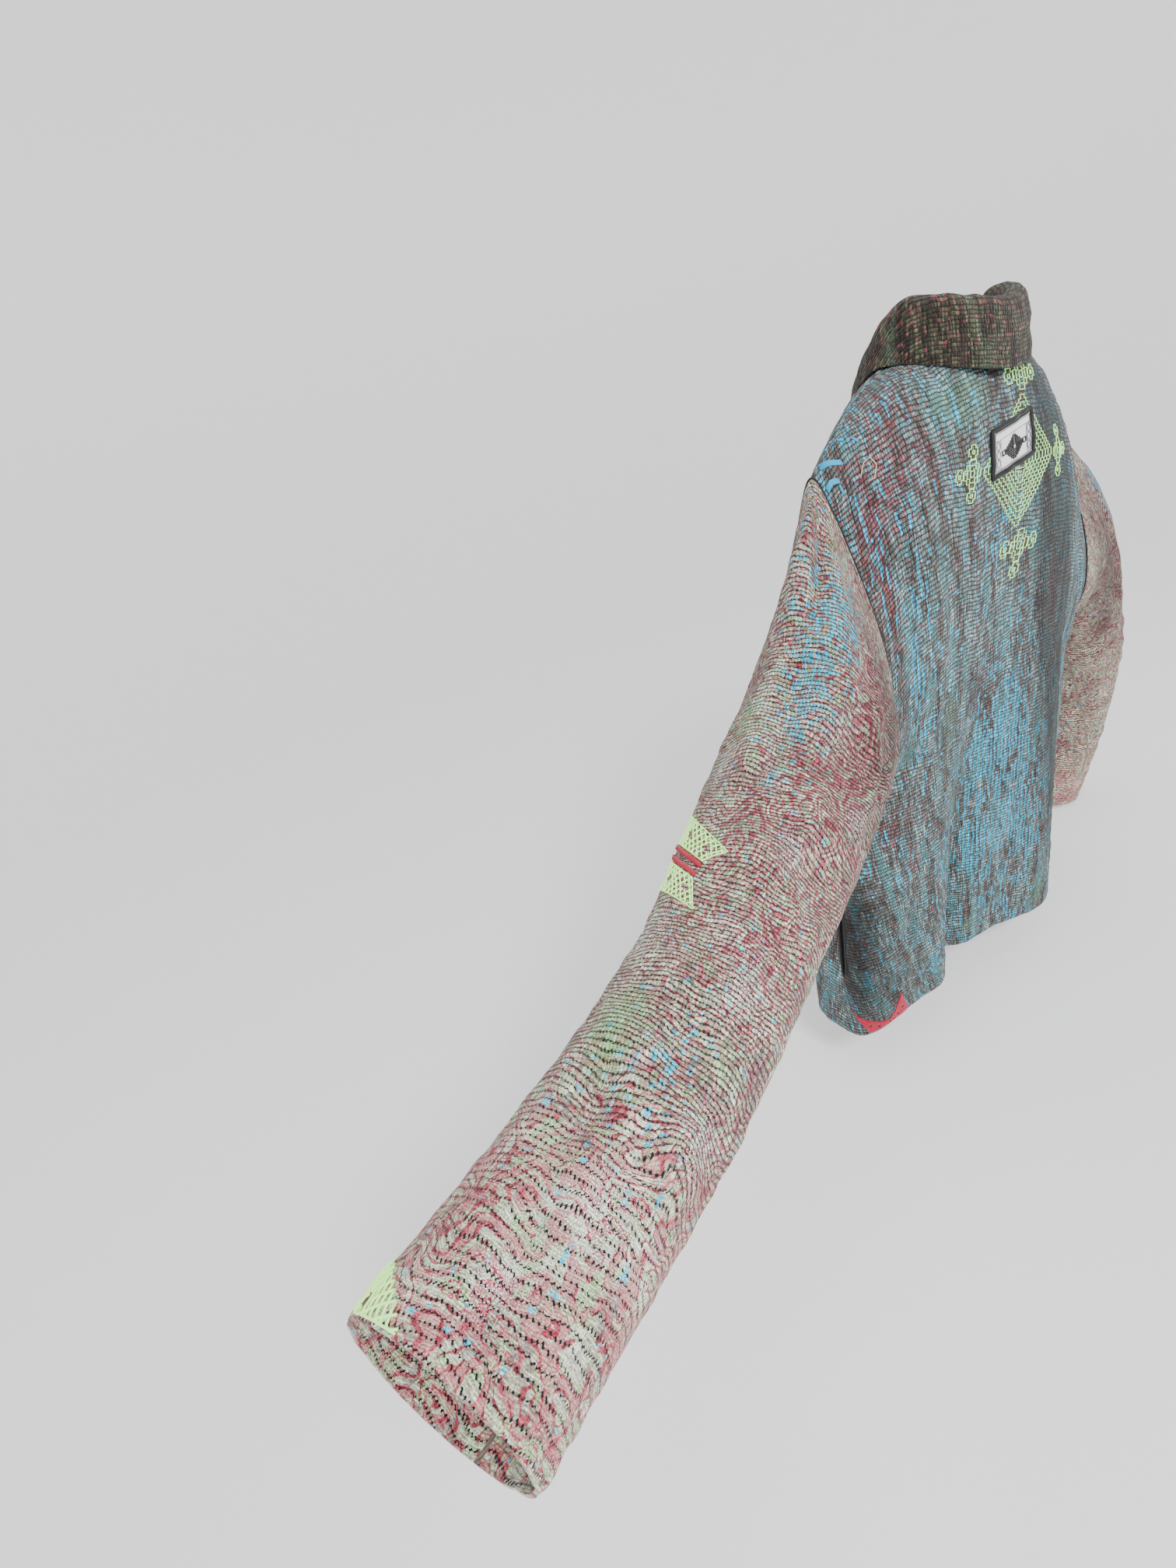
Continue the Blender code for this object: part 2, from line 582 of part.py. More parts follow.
def collar_section(stand, fall):
    """Distance from the neck seam and height above it: stand, half round, fall."""
    lean = COLLAR_LEAN
    rise = np.linspace(0.0, 1.0, COLLAR_STEPS // 3 + 1)
    up = np.stack([-lean * rise, stand * rise], axis=1)
    turn = np.linspace(np.pi, 0.0, COLLAR_STEPS // 3 + 2)[1:-1]
    over = np.stack([-lean + COLLAR_ROLL + COLLAR_ROLL * np.cos(turn),
                     stand + COLLAR_ROLL * np.sin(turn)], axis=1)
    fade = np.linspace(0.0, 1.0, COLLAR_STEPS // 3 + 1)
    down = np.stack([-lean + 2.0 * COLLAR_ROLL + COLLAR_FLARE * fade, stand - fall * fade], axis=1)
    return np.concatenate([up, over, down])


def on_back(along, z):
    """Point of the back's upper part at a distance along the cloth from its middle, and a height."""
    top_z, _ = top_line(along, True)
    rise = (z - UNDERARM_Z) / (top_z - UNDERARM_Z)
    line = panel_line(2.0 - np.arccos(2.0 * rise - 1.0) / np.pi, "back")
    size = np.linalg.norm(np.diff(line, axis=0), axis=1)
    length = np.concatenate([[0.0], np.cumsum(size)])
    middle = np.interp(0.0, -line[:, 0], length)
    return pick(line, np.array([(middle - along) / length[-1]]))[0]


def add_patch(collection):
    """A small rectangle on the back, made from the back's own surface and moved out."""
    slant = np.radians(PATCH_SLANT)
    grid = []
    for up in np.linspace(-0.5, 0.5, PATCH_CELLS[0] + 1) * PATCH_HIGH:
        row = []
        for left in np.linspace(0.5, -0.5, PATCH_CELLS[1] + 1) * PATCH_WIDE:
            along = PATCH_MIDDLE[0] + left * np.cos(slant) + up * np.sin(slant)
            z = PATCH_MIDDLE[1] + up * np.cos(slant) - left * np.sin(slant)
            row.append(on_back(along, z))
        grid.append(row)
    grid = np.array(grid)
    out = face_out(grid_normals(grid), grid, np.zeros(3))
    inner = grid + out * PATCH_CLEAR
    add_wall(collection, "patch", inner + out * PATCH_WALL, inner, PATCH_CLOTH)


def add_pocket(collection, side_name, grid, out):
    """A flat bag on the inside of a front, made from the front's own points and moved in."""
    z = grid[:, 0, 2]
    rows = np.where((z >= POCKET_FOOT_Z) & (z <= POCKET_TOP_Z))[0]
    across = np.linalg.norm(grid[rows[0]] - grid[rows[0], 0], axis=1)
    last = int(np.argmin(np.abs(across - POCKET_DEPTH)))
    cloth = grid[rows[0]:rows[-1] + 1, 1:last + 1]
    field = out[rows[0]:rows[-1] + 1, 1:last + 1]
    outer = cloth - field * (WALL + POCKET_CLEAR)
    add_wall(collection, "pocket_" + side_name, outer, outer - field * POCKET_WALL, POCKET_CLOTH)


def main():
    """The whole jacket."""
    jacket, grids, normals = build()
    add_collar(jacket)
    add_patch(jacket)
    add_pocket(jacket, "left", grids["front_left"], normals["front_left"])
    add_pocket(jacket, "right", grids["front_right"], normals["front_right"])


if __name__ == "__main__":
    main()
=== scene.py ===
# Looks of the worn kantha jacket: quilted cotton walls on their solids' forms, running stitch,
# stitched ornaments, bound patch, pocket slits, floor, light and camera.
from functools import partial
import bpy
import numpy as np
from mathutils import Matrix


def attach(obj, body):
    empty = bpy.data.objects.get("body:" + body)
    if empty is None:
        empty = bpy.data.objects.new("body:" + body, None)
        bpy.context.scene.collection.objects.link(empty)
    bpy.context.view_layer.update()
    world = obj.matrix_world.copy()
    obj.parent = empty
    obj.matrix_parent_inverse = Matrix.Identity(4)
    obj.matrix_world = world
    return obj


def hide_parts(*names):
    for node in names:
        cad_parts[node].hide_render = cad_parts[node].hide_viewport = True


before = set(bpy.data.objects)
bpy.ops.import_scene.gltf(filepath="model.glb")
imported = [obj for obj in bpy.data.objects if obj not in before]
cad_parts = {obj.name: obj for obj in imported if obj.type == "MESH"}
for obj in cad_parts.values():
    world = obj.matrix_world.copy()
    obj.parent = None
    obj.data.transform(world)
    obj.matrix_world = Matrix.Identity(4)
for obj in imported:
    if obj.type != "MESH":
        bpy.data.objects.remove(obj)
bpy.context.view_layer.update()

print("stage: packed solids loaded")

# Cut of the jacket, the same named sizes as its solids have
cut = {
    "hemZ": -0.649, "underarmZ": -0.338, "tipZ": -0.068,
    "armX": 0.208, "underarmX": 0.222, "hemX": 0.281, "hemFlare": 0.8, "underarmFlare": 4,
    "sideY": 0.015, "skirtTurn": 0.06, "squareness": 3.0, "ringOpens": 0.4,
    "neckX": 0.080, "backNeckDrop": 0.022, "backNeckY": 0.072, "neckRound": 0.6,
    "frontNeckDrop": 0.085, "frontNeckY": -0.056, "frontNeckRound": 0.85, "shoulderCurve": 1.5,
    "armholeBack": 0.056, "armholeFront": 0.052, "armholeScoop": 0.60,
    "backRound": (0.55, 1.0), "frontRound": (1.2, 2.2),
    "backLine": ([-0.649, -0.45, -0.30, -0.10, -0.02], [0.064, 0.076, 0.086, 0.092, 0.088]),
    "frontLine": ([-0.649, -0.45, -0.30, -0.15, -0.06], [-0.094, -0.100, -0.104, -0.098, -0.080]),
    "frontGap": ([-0.649, -0.35, -0.08], [0.030, 0.018, 0.010]),
    "foldHeadFade": 0.10, "foldEdgeFade": 0.05, "foldTopFade": 0.5,
    "wall": 0.0024,
}

# Folds of the body: place along the cloth at the foot and at the head, height of the head, depth
# at the hem and at the head, half width at the hem and at the head
bodyFolds = [
    (-0.045, -0.045, -0.060, 0.052, 0.008, 0.051, 0.080),
    (0.112, 0.070, -0.260, -0.036, 0.000, 0.0150, 0.022),
    (0.150, 0.105, -0.260, 0.008, 0.000, 0.022, 0.030),
    (-0.160, -0.110, -0.240, -0.034, 0.000, 0.0190, 0.026),
    (0.165, 0.150, -0.110, 0.003, 0.004, 0.018, 0.014),
    (0.400, 0.395, -0.300, -0.016, 0.000, 0.020, 0.022),
    (-0.410, -0.400, -0.260, -0.018, 0.000, 0.022, 0.024),
    (0.460, 0.455, -0.280, 0.010, 0.000, 0.026, 0.028),
    (-0.470, -0.460, -0.300, 0.009, 0.000, 0.026, 0.028),
]


def hexToLinear(code):
    # sRGB hex to linear: below 0.04045 divide by 12.92, above it a power of 2.4
    c = np.array([int(code[i:i + 2], 16) / 255 for i in (1, 3, 5)])
    c = np.where(c <= 0.04045, c / 12.92, ((c + 0.055) / 1.055) ** 2.4)
    return (*c.tolist(), 1.0)


def unit(a):
    return a / np.maximum(np.linalg.norm(a, axis=-1, keepdims=True), 1e-12)


def smooth(t):
    # 0 below 0, 1 above 1, 3t^2 - 2t^3 between
    t = np.clip(t, 0.0, 1.0)
    return t * t * (3.0 - 2.0 * t)


def bell(t):
    return np.exp(-0.5 * t ** 2)


def through(table, at):
    # cubic pieces through a table's rows, with the rows' own mean slopes
    rows, values = (np.asarray(k, float) for k in table)
    slopes = np.gradient(values, rows)
    at = np.clip(at, rows[0], rows[-1])
    i = np.clip(np.searchsorted(rows, at, side="right") - 1, 0, len(rows) - 2)
    span = rows[i + 1] - rows[i]
    t = (at - rows[i]) / span
    return ((2 * t ** 3 - 3 * t ** 2 + 1) * values[i] + (t ** 3 - 2 * t ** 2 + t) * span * slopes[i]
            + (3 * t ** 2 - 2 * t ** 3) * values[i + 1] + (t ** 3 - t ** 2) * span * slopes[i + 1])


def shoulderZ(x):
    out = np.clip((np.abs(x) - cut["neckX"]) / (cut["armX"] - cut["neckX"]), 0.0, None)
    return cut["tipZ"] * out ** cut["shoulderCurve"]


def topLine(x, back):
    # top edge of a panel: the shoulder seam, and inside the neck's half width the neck's curve
    inside = np.clip(1.0 - (np.abs(x) / cut["neckX"]) ** 2, 0.0, 1.0)
    if back:
        return (shoulderZ(x) - cut["backNeckDrop"] * inside,
                cut["sideY"] + (cut["backNeckY"] - cut["sideY"]) * inside ** cut["neckRound"])
    return (shoulderZ(x) - cut["frontNeckDrop"] * inside ** cut["frontNeckRound"],
            cut["sideY"] + (cut["frontNeckY"] - cut["sideY"]) * inside ** cut["neckRound"])


def armhole(angle, back):
    # egg in an upright plane: angle 0 at the shoulder tip, pi at the underarm, fuller below
    low = (1.0 - np.cos(angle)) / 2.0
    x = cut["armX"] + (cut["underarmX"] - cut["armX"]) * low ** cut["underarmFlare"]
    reach = np.where(back, cut["armholeBack"], -cut["armholeFront"])
    y = cut["sideY"] + reach * np.abs(np.sin(angle)) * (1.0 - cut["armholeScoop"] * np.cos(angle))
    z = cut["underarmZ"] + (cut["tipZ"] - cut["underarmZ"]) * (1.0 + np.cos(angle)) / 2.0
    return x, y, z


def armRing(side, angle):
    # the armhole all round: its back half, then its front half
    behind = angle <= np.pi
    x, y, z = armhole(np.where(behind, angle, 2.0 * np.pi - angle), behind)
    return np.stack([side * x, y, z], axis=1)


def bodySurface(v, turn, back):
    # v runs up the body (0 hem, 1 underarm, 2 shoulder), turn round it (-1 left seam, 1 right).
    # Half width times sin(turn) across, a rounded square in depth, rising with (1 + cos) / 2
    # above the underarm up to the top line
    v, turn = v[:, None], turn[None, :]
    lift = np.maximum(v - 1.0, 0.0)
    drop = 1.0 - np.minimum(v, 1.0)
    angle = np.pi * (1.0 - lift)
    rise = (1.0 + np.cos(angle)) / 2.0
    sideX, sideY, _ = armhole(angle, back)
    sideX = sideX + (cut["hemX"] - cut["underarmX"]) * drop ** cut["hemFlare"]
    zSide = cut["hemZ"] + (cut["underarmZ"] - cut["hemZ"]) * np.minimum(v, 1.0)
    x = -sideX * np.sin(turn * np.pi / 2.0)
    share = np.abs(x) / sideX
    topZ, topY = topLine(x, back)
    z = zSide + (topZ - cut["underarmZ"]) * rise
    middleY = through(cut["backLine" if back else "frontLine"], z)
    power = 1.0 / cut["squareness"]
    bulge = power + (1.0 - power) * smooth(lift / cut["ringOpens"])
    atNeck, atArm = cut["backRound" if back else "frontRound"]
    high = np.sin(np.minimum(angle, np.pi / 2.0))
    over = high ** (atNeck + (atArm - atNeck) * share ** 2)
    edgeY = cut["sideY"] + (sideY - cut["sideY"]) / np.maximum(high ** atArm, 1e-6)
    fullY = edgeY + (middleY - edgeY) * np.clip(1.0 - share ** cut["squareness"], 0.0, 1.0) ** bulge
    y = topY + (fullY - topY) * over + cut["skirtTurn"] * x * drop
    return np.stack(np.broadcast_arrays(x, y, z), axis=-1)


def runLength(points, axis=1):
    # distance along each line of a grid, starting at 0
    size = np.linalg.norm(np.diff(points, axis=axis), axis=-1)
    first = np.zeros_like(np.take(size, [0], axis=axis))
    return np.concatenate([first, np.cumsum(size, axis=axis)], axis=axis)


fineBack, fineFront = 481, 361   # points of a body line before it is thinned out


def foldedBody(v, panel):
    # the body's fine lines, moved square to themselves by a bell curve for each fold
    back = panel == "back"
    turn = np.linspace(-1.0, 1.0, fineBack) if back else np.linspace(-1.0, 0.0, fineFront)
    points = bodySurface(v, turn, back)
    length = runLength(points[..., :2])
    half = runLength(bodySurface(v, np.linspace(-1.0, 1.0, fineBack), True)[..., :2])[:, -1:] / 2.0
    along = half - length if back else half + length
    drop = 1.0 - np.minimum(v, 1.0)[:, None]
    if panel == "front_right":
        points = points * np.array([-1.0, 1.0, 1.0])
        points[..., 1] += 2.0 * cut["skirtTurn"] * drop * points[..., 0]
        along = -along
    fromEdge = np.minimum(length, length[:, -1:] - length) if back else length
    fade = smooth(fromEdge / cut["foldEdgeFade"]) * smooth((2.0 - v[:, None]) / cut["foldTopFade"])
    fade = np.where(v[:, None] > 1.0, fade, 1.0)
    tangent = unit(np.gradient(points[..., :2], axis=1))
    outward = np.stack([-tangent[..., 1], tangent[..., 0]], axis=-1)
    outward = outward * np.sign(np.sum(outward * points[..., :2], axis=(1, 2)))[:, None, None]
    z = points[..., 2]
    move = np.zeros_like(z)
    for foot, head, headZ, outFoot, outHead, wideFoot, wideHead in bodyFolds:
        t = np.clip((headZ - z) / (headZ - cut["hemZ"]), 0.0, 1.0)
        place = head + (foot - head) * t
        wide = wideHead + (wideFoot - wideHead) * t
        above = smooth(1.0 - (z - headZ) / cut["foldHeadFade"])
        move += (outHead + (outFoot - outHead) * t) * above * bell((along - place) / wide)
    points[..., :2] += outward * (move * fade)[..., None]
    return points


def spreadOver(line, columns, turnWeight=0.035):
    # shares of a line's length: closer together where the cloth bends
    step = np.diff(line[:, :2], axis=0)
    size = np.linalg.norm(step, axis=1)
    heading = np.unwrap(np.arctan2(step[:, 1], step[:, 0]))
    weight = size + turnWeight * np.abs(np.gradient(heading))
    total = np.concatenate([[0.0], np.cumsum(weight)])
    length = np.concatenate([[0.0], np.cumsum(size)])
    return np.interp(np.linspace(0.0, total[-1], columns), total, length) / length[-1]


def pick(line, shares):
    length = runLength(line, axis=0)
    return np.stack([np.interp(shares * length[-1], length, line[:, k]) for k in range(3)], axis=1)


def closeRing(grid):
    return np.concatenate([grid, grid[:, :1]], axis=1)


def stacked(a, b):
    return np.stack([a, b], axis=-1)


def gridNormals(grid, ring=False):
    # square to the cloth: the cross product of its two directions
    down = np.gradient(grid, axis=0)
    across = (np.roll(grid, -1, axis=1) - np.roll(grid, 1, axis=1)) if ring else np.gradient(grid, axis=1)
    return unit(np.cross(across, down))


def facing(normals, grid, centre):
    return -normals if np.sum(normals * (grid - centre)) < 0 else normals


rowsBelow, armSteps, sleeveRings = 70, 60, 176
ringAngles = np.arange(2 * armSteps) * np.pi / armSteps


def bodyPanel(panel, columns):
    v = np.concatenate([np.linspace(0.0, 1.0, rowsBelow + 1), np.linspace(1.0, 2.0, armSteps + 1)[1:]])
    lines = foldedBody(v, panel)
    side = -1.0 if panel == "front_right" else 1.0
    if panel != "back":   # each line ends at the front edge
        gap = through(cut["frontGap"], lines[..., 2])
        ends = [max(int(np.argmax(k)), 2) if k.any() else len(k) for k in side * lines[..., 0] < gap]
        lines = [line[:end] for line, end in zip(lines, ends)]
        lines = [np.vstack([line, [side * g[len(line) - 1], line[-1, 1], line[-1, 2]]])
                 for line, g in zip(lines, gap)]
    shares = spreadOver(lines[0], columns)
    grid = np.array([pick(line, shares) for line in lines])
    level = grid.copy()
    level[..., :2] = 0.0
    normals = facing(gridNormals(grid), grid, level)
    return grid, normals


# Sleeves, a row for each section: middle of the tube, half height and half depth
leftSleeve = {
    "x": [0.212, 0.268, 0.334, 0.412, 0.490, 0.565, 0.636, 0.700, 0.758],
    "y": [0.010, 0.045, 0.080, 0.103, 0.125, 0.147, 0.167, 0.187, 0.205],
    "z": [-0.203, -0.224, -0.254, -0.287, -0.315, -0.332, -0.337, -0.335, -0.331],
    "high": [0.100, 0.090, 0.078, 0.0685, 0.0610, 0.0585, 0.0570, 0.0550, 0.0540],
    "deep": [0.060, 0.062, 0.066, 0.0650, 0.0605, 0.0580, 0.0560, 0.0545, 0.0535],
    "creases": [(0.34, 62, -0.0050, 0.16, 11), (0.14, 128, 0.0045, 0.10, 12),
                (0.55, 215, -0.0060, 0.09, 18), (0.86, 48, -0.0055, 0.15, 12),
                (0.40, 285, -0.0055, 0.18, 14)],
}
rightSleeve = {
    "x": [-0.212, -0.262, -0.306, -0.343, -0.371, -0.392, -0.405, -0.412, -0.415],
    "y": [0.010, 0.010, 0.012, 0.012, 0.010, 0.002, -0.010, -0.026, -0.042],
    "z": [-0.203, -0.233, -0.276, -0.336, -0.402, -0.476, -0.554, -0.630, -0.700],
    "high": [0.100, 0.090, 0.072, 0.063, 0.0590, 0.0565, 0.0550, 0.0540, 0.0530],
    "deep": [0.060, 0.063, 0.065, 0.065, 0.0630, 0.0600, 0.057, 0.0550, 0.0540],
    "creases": [(0.36, 70, -0.0050, 0.16, 12), (0.16, 130, 0.0040, 0.10, 12),
                (0.56, 200, -0.0060, 0.08, 18), (0.84, 300, -0.0050, 0.14, 13),
                (0.42, 265, -0.0050, 0.17, 14)],
}


def sleeveTube(sleeve, side, settle=0.30, taper=1.6):
    # an ellipse carried along the sleeve's path; over its first part it eases out of the
    # armhole's egg, and each crease moves it by a bell curve along and round
    hole = armRing(side, ringAngles)
    rows = np.linspace(0.0, 1.0, 9)
    at = np.concatenate([np.linspace(0.0, 0.03, 12), np.linspace(0.03, 1.0, sleeveRings)[1:]])
    path = np.stack([through((rows, sleeve[k]), at) for k in ("x", "y", "z")], axis=1)
    high, deep = through((rows, sleeve["high"]), at), through((rows, sleeve["deep"]), at)
    run = unit(np.gradient(path, axis=0))
    up = np.array([0.0, 0.0, 1.0])
    ease = smooth(at / settle)[:, None]
    squareUp = unit(up - run * run[:, 2:])
    squareBack = unit(np.cross(squareUp, run) * side)
    leanUp = unit(up * (1.0 - ease) + squareUp * ease)[:, None, :]
    leanBack = unit(np.array([0.0, 1.0, 0.0]) * (1.0 - ease) + squareBack * ease)[:, None, :]
    offset = (hole - path[0])[None]
    cosTurn, sinTurn = (k(ringAngles)[None, :, None] for k in (np.cos, np.sin))
    tall, wide = high[:, None, None], deep[:, None, None]
    roundPart = tall * cosTurn * leanUp + wide * sinTurn * leanBack
    ease = ease[..., None]
    holePart = (offset[..., 2:3] * tall / high[0] * leanUp + offset[..., 1:2] * wide / deep[0] * leanBack
                + offset[..., 0:1] * (1.0 - ease) * np.array([1.0, 0.0, 0.0]))
    rings = path[:, None, :] + holePart * (1.0 - ease) + roundPart * ease
    rings[0] = hole
    out = facing(gridNormals(rings, True), rings, path[:, None, :])
    move = np.zeros(rings.shape[:2])
    for middle, roundAt, stand, halfLong, halfWide in sleeve["creases"]:
        far = (np.degrees(ringAngles) - roundAt + 180.0) % 360.0 - 180.0
        move += stand * (bell((at - middle) / halfLong * taper)[:, None] * bell(far / halfWide)[None, :])
    move[0] = 0.0
    rings = rings + out * move[..., None]
    return rings, facing(gridNormals(rings, True), rings, path[:, None, :])


def puckers(u, v, seed, smallest, largest, count=30):
    # hills and hollows of pulled stitches: a sum of seeded sine waves, of mean square one
    rng = np.random.default_rng(seed)
    total = np.zeros_like(u)
    for angle, size, phase in zip(rng.uniform(0, np.pi, count), rng.uniform(smallest, largest, count),
                                  rng.uniform(0, 2 * np.pi, count)):
        total += np.sin(2 * np.pi * (u * np.cos(angle) + v * np.sin(angle)) / size + phase)
    return total / np.sqrt(count / 2)


# Puckers of each cloth: height, smallest and largest size; they calm down this near to a seam
puckered = {"body": (0.00035, 0.014, 0.040), "sleeve": (0.00040, 0.014, 0.036),
            "collar": (0.00040, 0.012, 0.030)}
calmWithin = 0.02


def pulled(cloth, u, v, seed):
    height, smallest, largest = puckered[cloth]
    return height * puckers(u, v, seed, smallest, largest)


def creased(u, v, table):
    # soft troughs and ridges: a bell curve of the distance from each stroke, fading at its ends
    move = np.zeros_like(u)
    for u0, v0, u1, v1, width, depth in table:
        run = np.array([u1 - u0, v1 - v0])
        size = np.linalg.norm(run)
        t = ((u - u0) * run[0] + (v - v0) * run[1]) / size ** 2
        bow = 0.12 * size * np.sin(np.pi * np.clip(t, 0, 1))
        off = ((u - u0) * run[1] - (v - v0) * run[0]) / size - bow
        ends = smooth((t + 0.05) / 0.35) * smooth((1.05 - t) / 0.35)
        move += depth * ends * bell(off / width)
    return move


def addObject(name, data):
    thing = bpy.data.objects.new(name, data)
    bpy.context.scene.collection.objects.link(thing)
    return thing


def tubeQuads(count, sides):
    # quads between closed rings of points, ring after ring
    i, j = np.meshgrid(np.arange(count - 1), np.arange(sides), indexing="ij")
    k = (j + 1) % sides
    quads = np.stack([i * sides + j, (i + 1) * sides + j, (i + 1) * sides + k, i * sides + k], axis=-1)
    return quads.reshape(-1, 4)


def clothWall(name, outer, inner, uv, flow, tint=None, ring=False):
    # closed wall of quads between two grids, with the cloth's own distances and its stitch
    # rows' distances as two UV maps
    rows, columns = outer.shape[:2]
    spans = columns if ring else columns - 1
    shift = rows * columns
    i, j = np.meshgrid(np.arange(rows - 1), np.arange(spans), indexing="ij")
    k = (j + 1) % columns
    a, b, c, d = i * columns + j, i * columns + k, (i + 1) * columns + k, (i + 1) * columns + j
    outerFaces = np.stack([a, b, c, d], axis=-1).reshape(-1, 4)
    uv = np.concatenate([uv, flow], axis=-1)
    outerUv = np.stack([uv[:-1, :-1], uv[:-1, 1:], uv[1:, 1:], uv[1:, :-1]], axis=2).reshape(-1, 4, 4)
    jj = np.arange(spans)
    kk = (jj + 1) % columns
    last = (rows - 1) * columns
    foot = np.stack([kk, jj, jj + shift, kk + shift], axis=-1)
    head = np.stack([last + jj, last + kk, last + kk + shift, last + jj + shift], axis=-1)
    footUv = np.stack([uv[0, 1:], uv[0, :-1], uv[0, :-1], uv[0, 1:]], axis=1)
    headUv = np.stack([uv[-1, :-1], uv[-1, 1:], uv[-1, 1:], uv[-1, :-1]], axis=1)
    faces = [outerFaces, outerFaces[:, ::-1] + shift, foot, head]
    uvs = [outerUv, outerUv[:, ::-1], footUv, headUv]
    if not ring:
        ii = np.arange(rows - 1) * columns
        left = np.stack([ii, ii + columns, ii + columns + shift, ii + shift], axis=-1)
        ii = ii + columns - 1
        right = np.stack([ii + columns, ii, ii + shift, ii + columns + shift], axis=-1)
        faces += [left, right]
        uvs += [np.stack([uv[:-1, 0], uv[1:, 0], uv[1:, 0], uv[:-1, 0]], axis=1),
                np.stack([uv[1:, -1], uv[:-1, -1], uv[:-1, -1], uv[1:, -1]], axis=1)]
    points = np.concatenate([outer.reshape(-1, 3), inner.reshape(-1, 3)])
    faces, uvs = np.concatenate(faces), np.concatenate(uvs)
    p = points[faces]
    if np.sum(p[:, 0] * np.cross(p[:, 1], p[:, 2])) + np.sum(p[:, 0] * np.cross(p[:, 2], p[:, 3])) < 0:
        faces, uvs = faces[:, ::-1], uvs[:, ::-1]   # they faced inward
    mesh = bpy.data.meshes.new(name)
    mesh.from_pydata(points.tolist(), [], faces.tolist())
    for title, part in (("cloth", uvs[..., :2]), ("rows", uvs[..., 2:])):
        mesh.uv_layers.new(name=title).data.foreach_set("uv", part.reshape(-1).astype(np.float32))
    # pale in the first layer is partly painted highlight; dark in the second layer is painted shade
    if tint is not None:   # two point colour layers: blue, red, pale and green, dark, speckled
        for title, part in (("tint", tint[..., :3]), ("stain", tint[..., 3:])):
            rgba = np.concatenate([part, np.ones(part.shape[:2] + (1,))], axis=-1).reshape(-1, 4)
            rgba = np.concatenate([rgba, rgba * np.array([0.5, 0.8, 0.3, 1.0])])
            colours = mesh.color_attributes.new(title, "FLOAT_COLOR", "POINT")
            colours.data.foreach_set("color", rgba.reshape(-1).astype(np.float32))
    mesh.shade_smooth()
    mesh.set_sharp_from_angle(angle=np.radians(60.0))
    return addObject(name, mesh)


def softEdges(shape, ring, pull=0.0007):
    # the outermost line of a wall sits a little lower, so its edge looks turned
    edge = np.zeros(shape)
    edge[0], edge[-1] = -pull, -pull
    if not ring:
        edge[:, 0], edge[:, -1] = -pull, -pull
    return edge


def painted(u, v, spots):
    # how blue, red, pale, green, dark and speckled the cloth is: bell curves at (u, v), in mm. Dark is
    # painted shade, and pale is partly painted highlight
    tint = np.zeros(u.shape + (6,))
    for channel, title in enumerate(("blue", "red", "pale", "green", "dark", "speck")):
        for u0, v0, wideU, wideV, amount in spots.get(title, ()):
            tint[..., channel] += amount * np.exp(-0.5 * (((u * 1000 - u0) / wideU) ** 2
                                                          + ((v * 1000 - v0) / wideV) ** 2))
    return np.clip(tint, 0.0, 1.0)


def findOn(sheet, u, v, rounds=24):
    # grid place of cloth distances (u, v): steps by the miss over the local slope
    coarse = 4   # looks among every fourth row and column first
    someU, someV = sheet["u"][::coarse, ::coarse], sheet["v"][::coarse, ::coarse]
    nearest = np.argmin((u[..., None] - someU.ravel()) ** 2 + (v[..., None] - someV.ravel()) ** 2, axis=-1)
    r, c = (k * float(coarse) for k in np.divmod(nearest, someU.shape[1]))
    for _ in range(rounds):
        slopeU = sampled(sheet["u"], r, c + 0.5) - sampled(sheet["u"], r, c - 0.5)
        move = np.clip((u - sampled(sheet["u"], r, c)) / slopeU, -3.0, 3.0)
        c = np.clip(c + move * 0.8, 0.5, sheet["u"].shape[1] - 1.5)
        slopeV = sampled(sheet["v"], r + 0.5, c) - sampled(sheet["v"], r - 0.5, c)
        move = np.clip((v - sampled(sheet["v"], r, c)) / slopeV, -3.0, 3.0)
        r = np.clip(r + move * 0.8, 0.5, sheet["v"].shape[0] - 1.5)
    return r, c


def sampled(field, r, c):
    # bilinear value of a grid at fractional row and column
    r0 = np.clip(np.floor(r).astype(int), 0, field.shape[0] - 2)
    c0 = np.clip(np.floor(c).astype(int), 0, field.shape[1] - 2)
    fr, fc = r - r0, c - c0
    if field.ndim == 3:
        fr, fc = fr[..., None], fc[..., None]
    return ((field[r0, c0] * (1 - fc) + field[r0, c0 + 1] * fc) * (1 - fr)
            + (field[r0 + 1, c0] * (1 - fc) + field[r0 + 1, c0 + 1] * fc) * fr)


def onCloth(sheet, u, v, height):
    # point of a sheet at cloth distances (u, v), lifted square to it
    r, c = findOn(sheet, np.asarray(u, float), np.asarray(v, float))
    normal = unit(sampled(sheet["normals"], r, c))
    return sampled(sheet["points"], r, c) + normal * np.asarray(height)[..., None], normal


def threads(name, lines, radius, sides=4):
    # one mesh of thin tubes: each line of points and normals carries a ring of a few corners
    points, faces, start = [], [], 0
    angles = np.arange(sides) * 2.0 * np.pi / sides + np.pi / 4
    for line, normal in lines:
        run = unit(np.gradient(line, axis=0))
        aside = unit(np.cross(run, normal))
        over = np.cross(aside, run)
        count = len(line)
        ring = (line[:, None] + radius * (np.cos(angles)[None, :, None] * aside[:, None]
                                          + np.sin(angles)[None, :, None] * over[:, None]))
        points.append(ring.reshape(-1, 3))
        faces += (tubeQuads(count, sides) + start).tolist()
        faces += [list(range(start, start + sides)),
                  list(range(start + count * sides - 1, start + (count - 1) * sides - 1, -1))]
        start += count * sides
    mesh = bpy.data.meshes.new(name)
    mesh.from_pydata(np.concatenate(points).tolist(), [], faces)
    mesh.shade_smooth()
    return addObject(name, mesh)


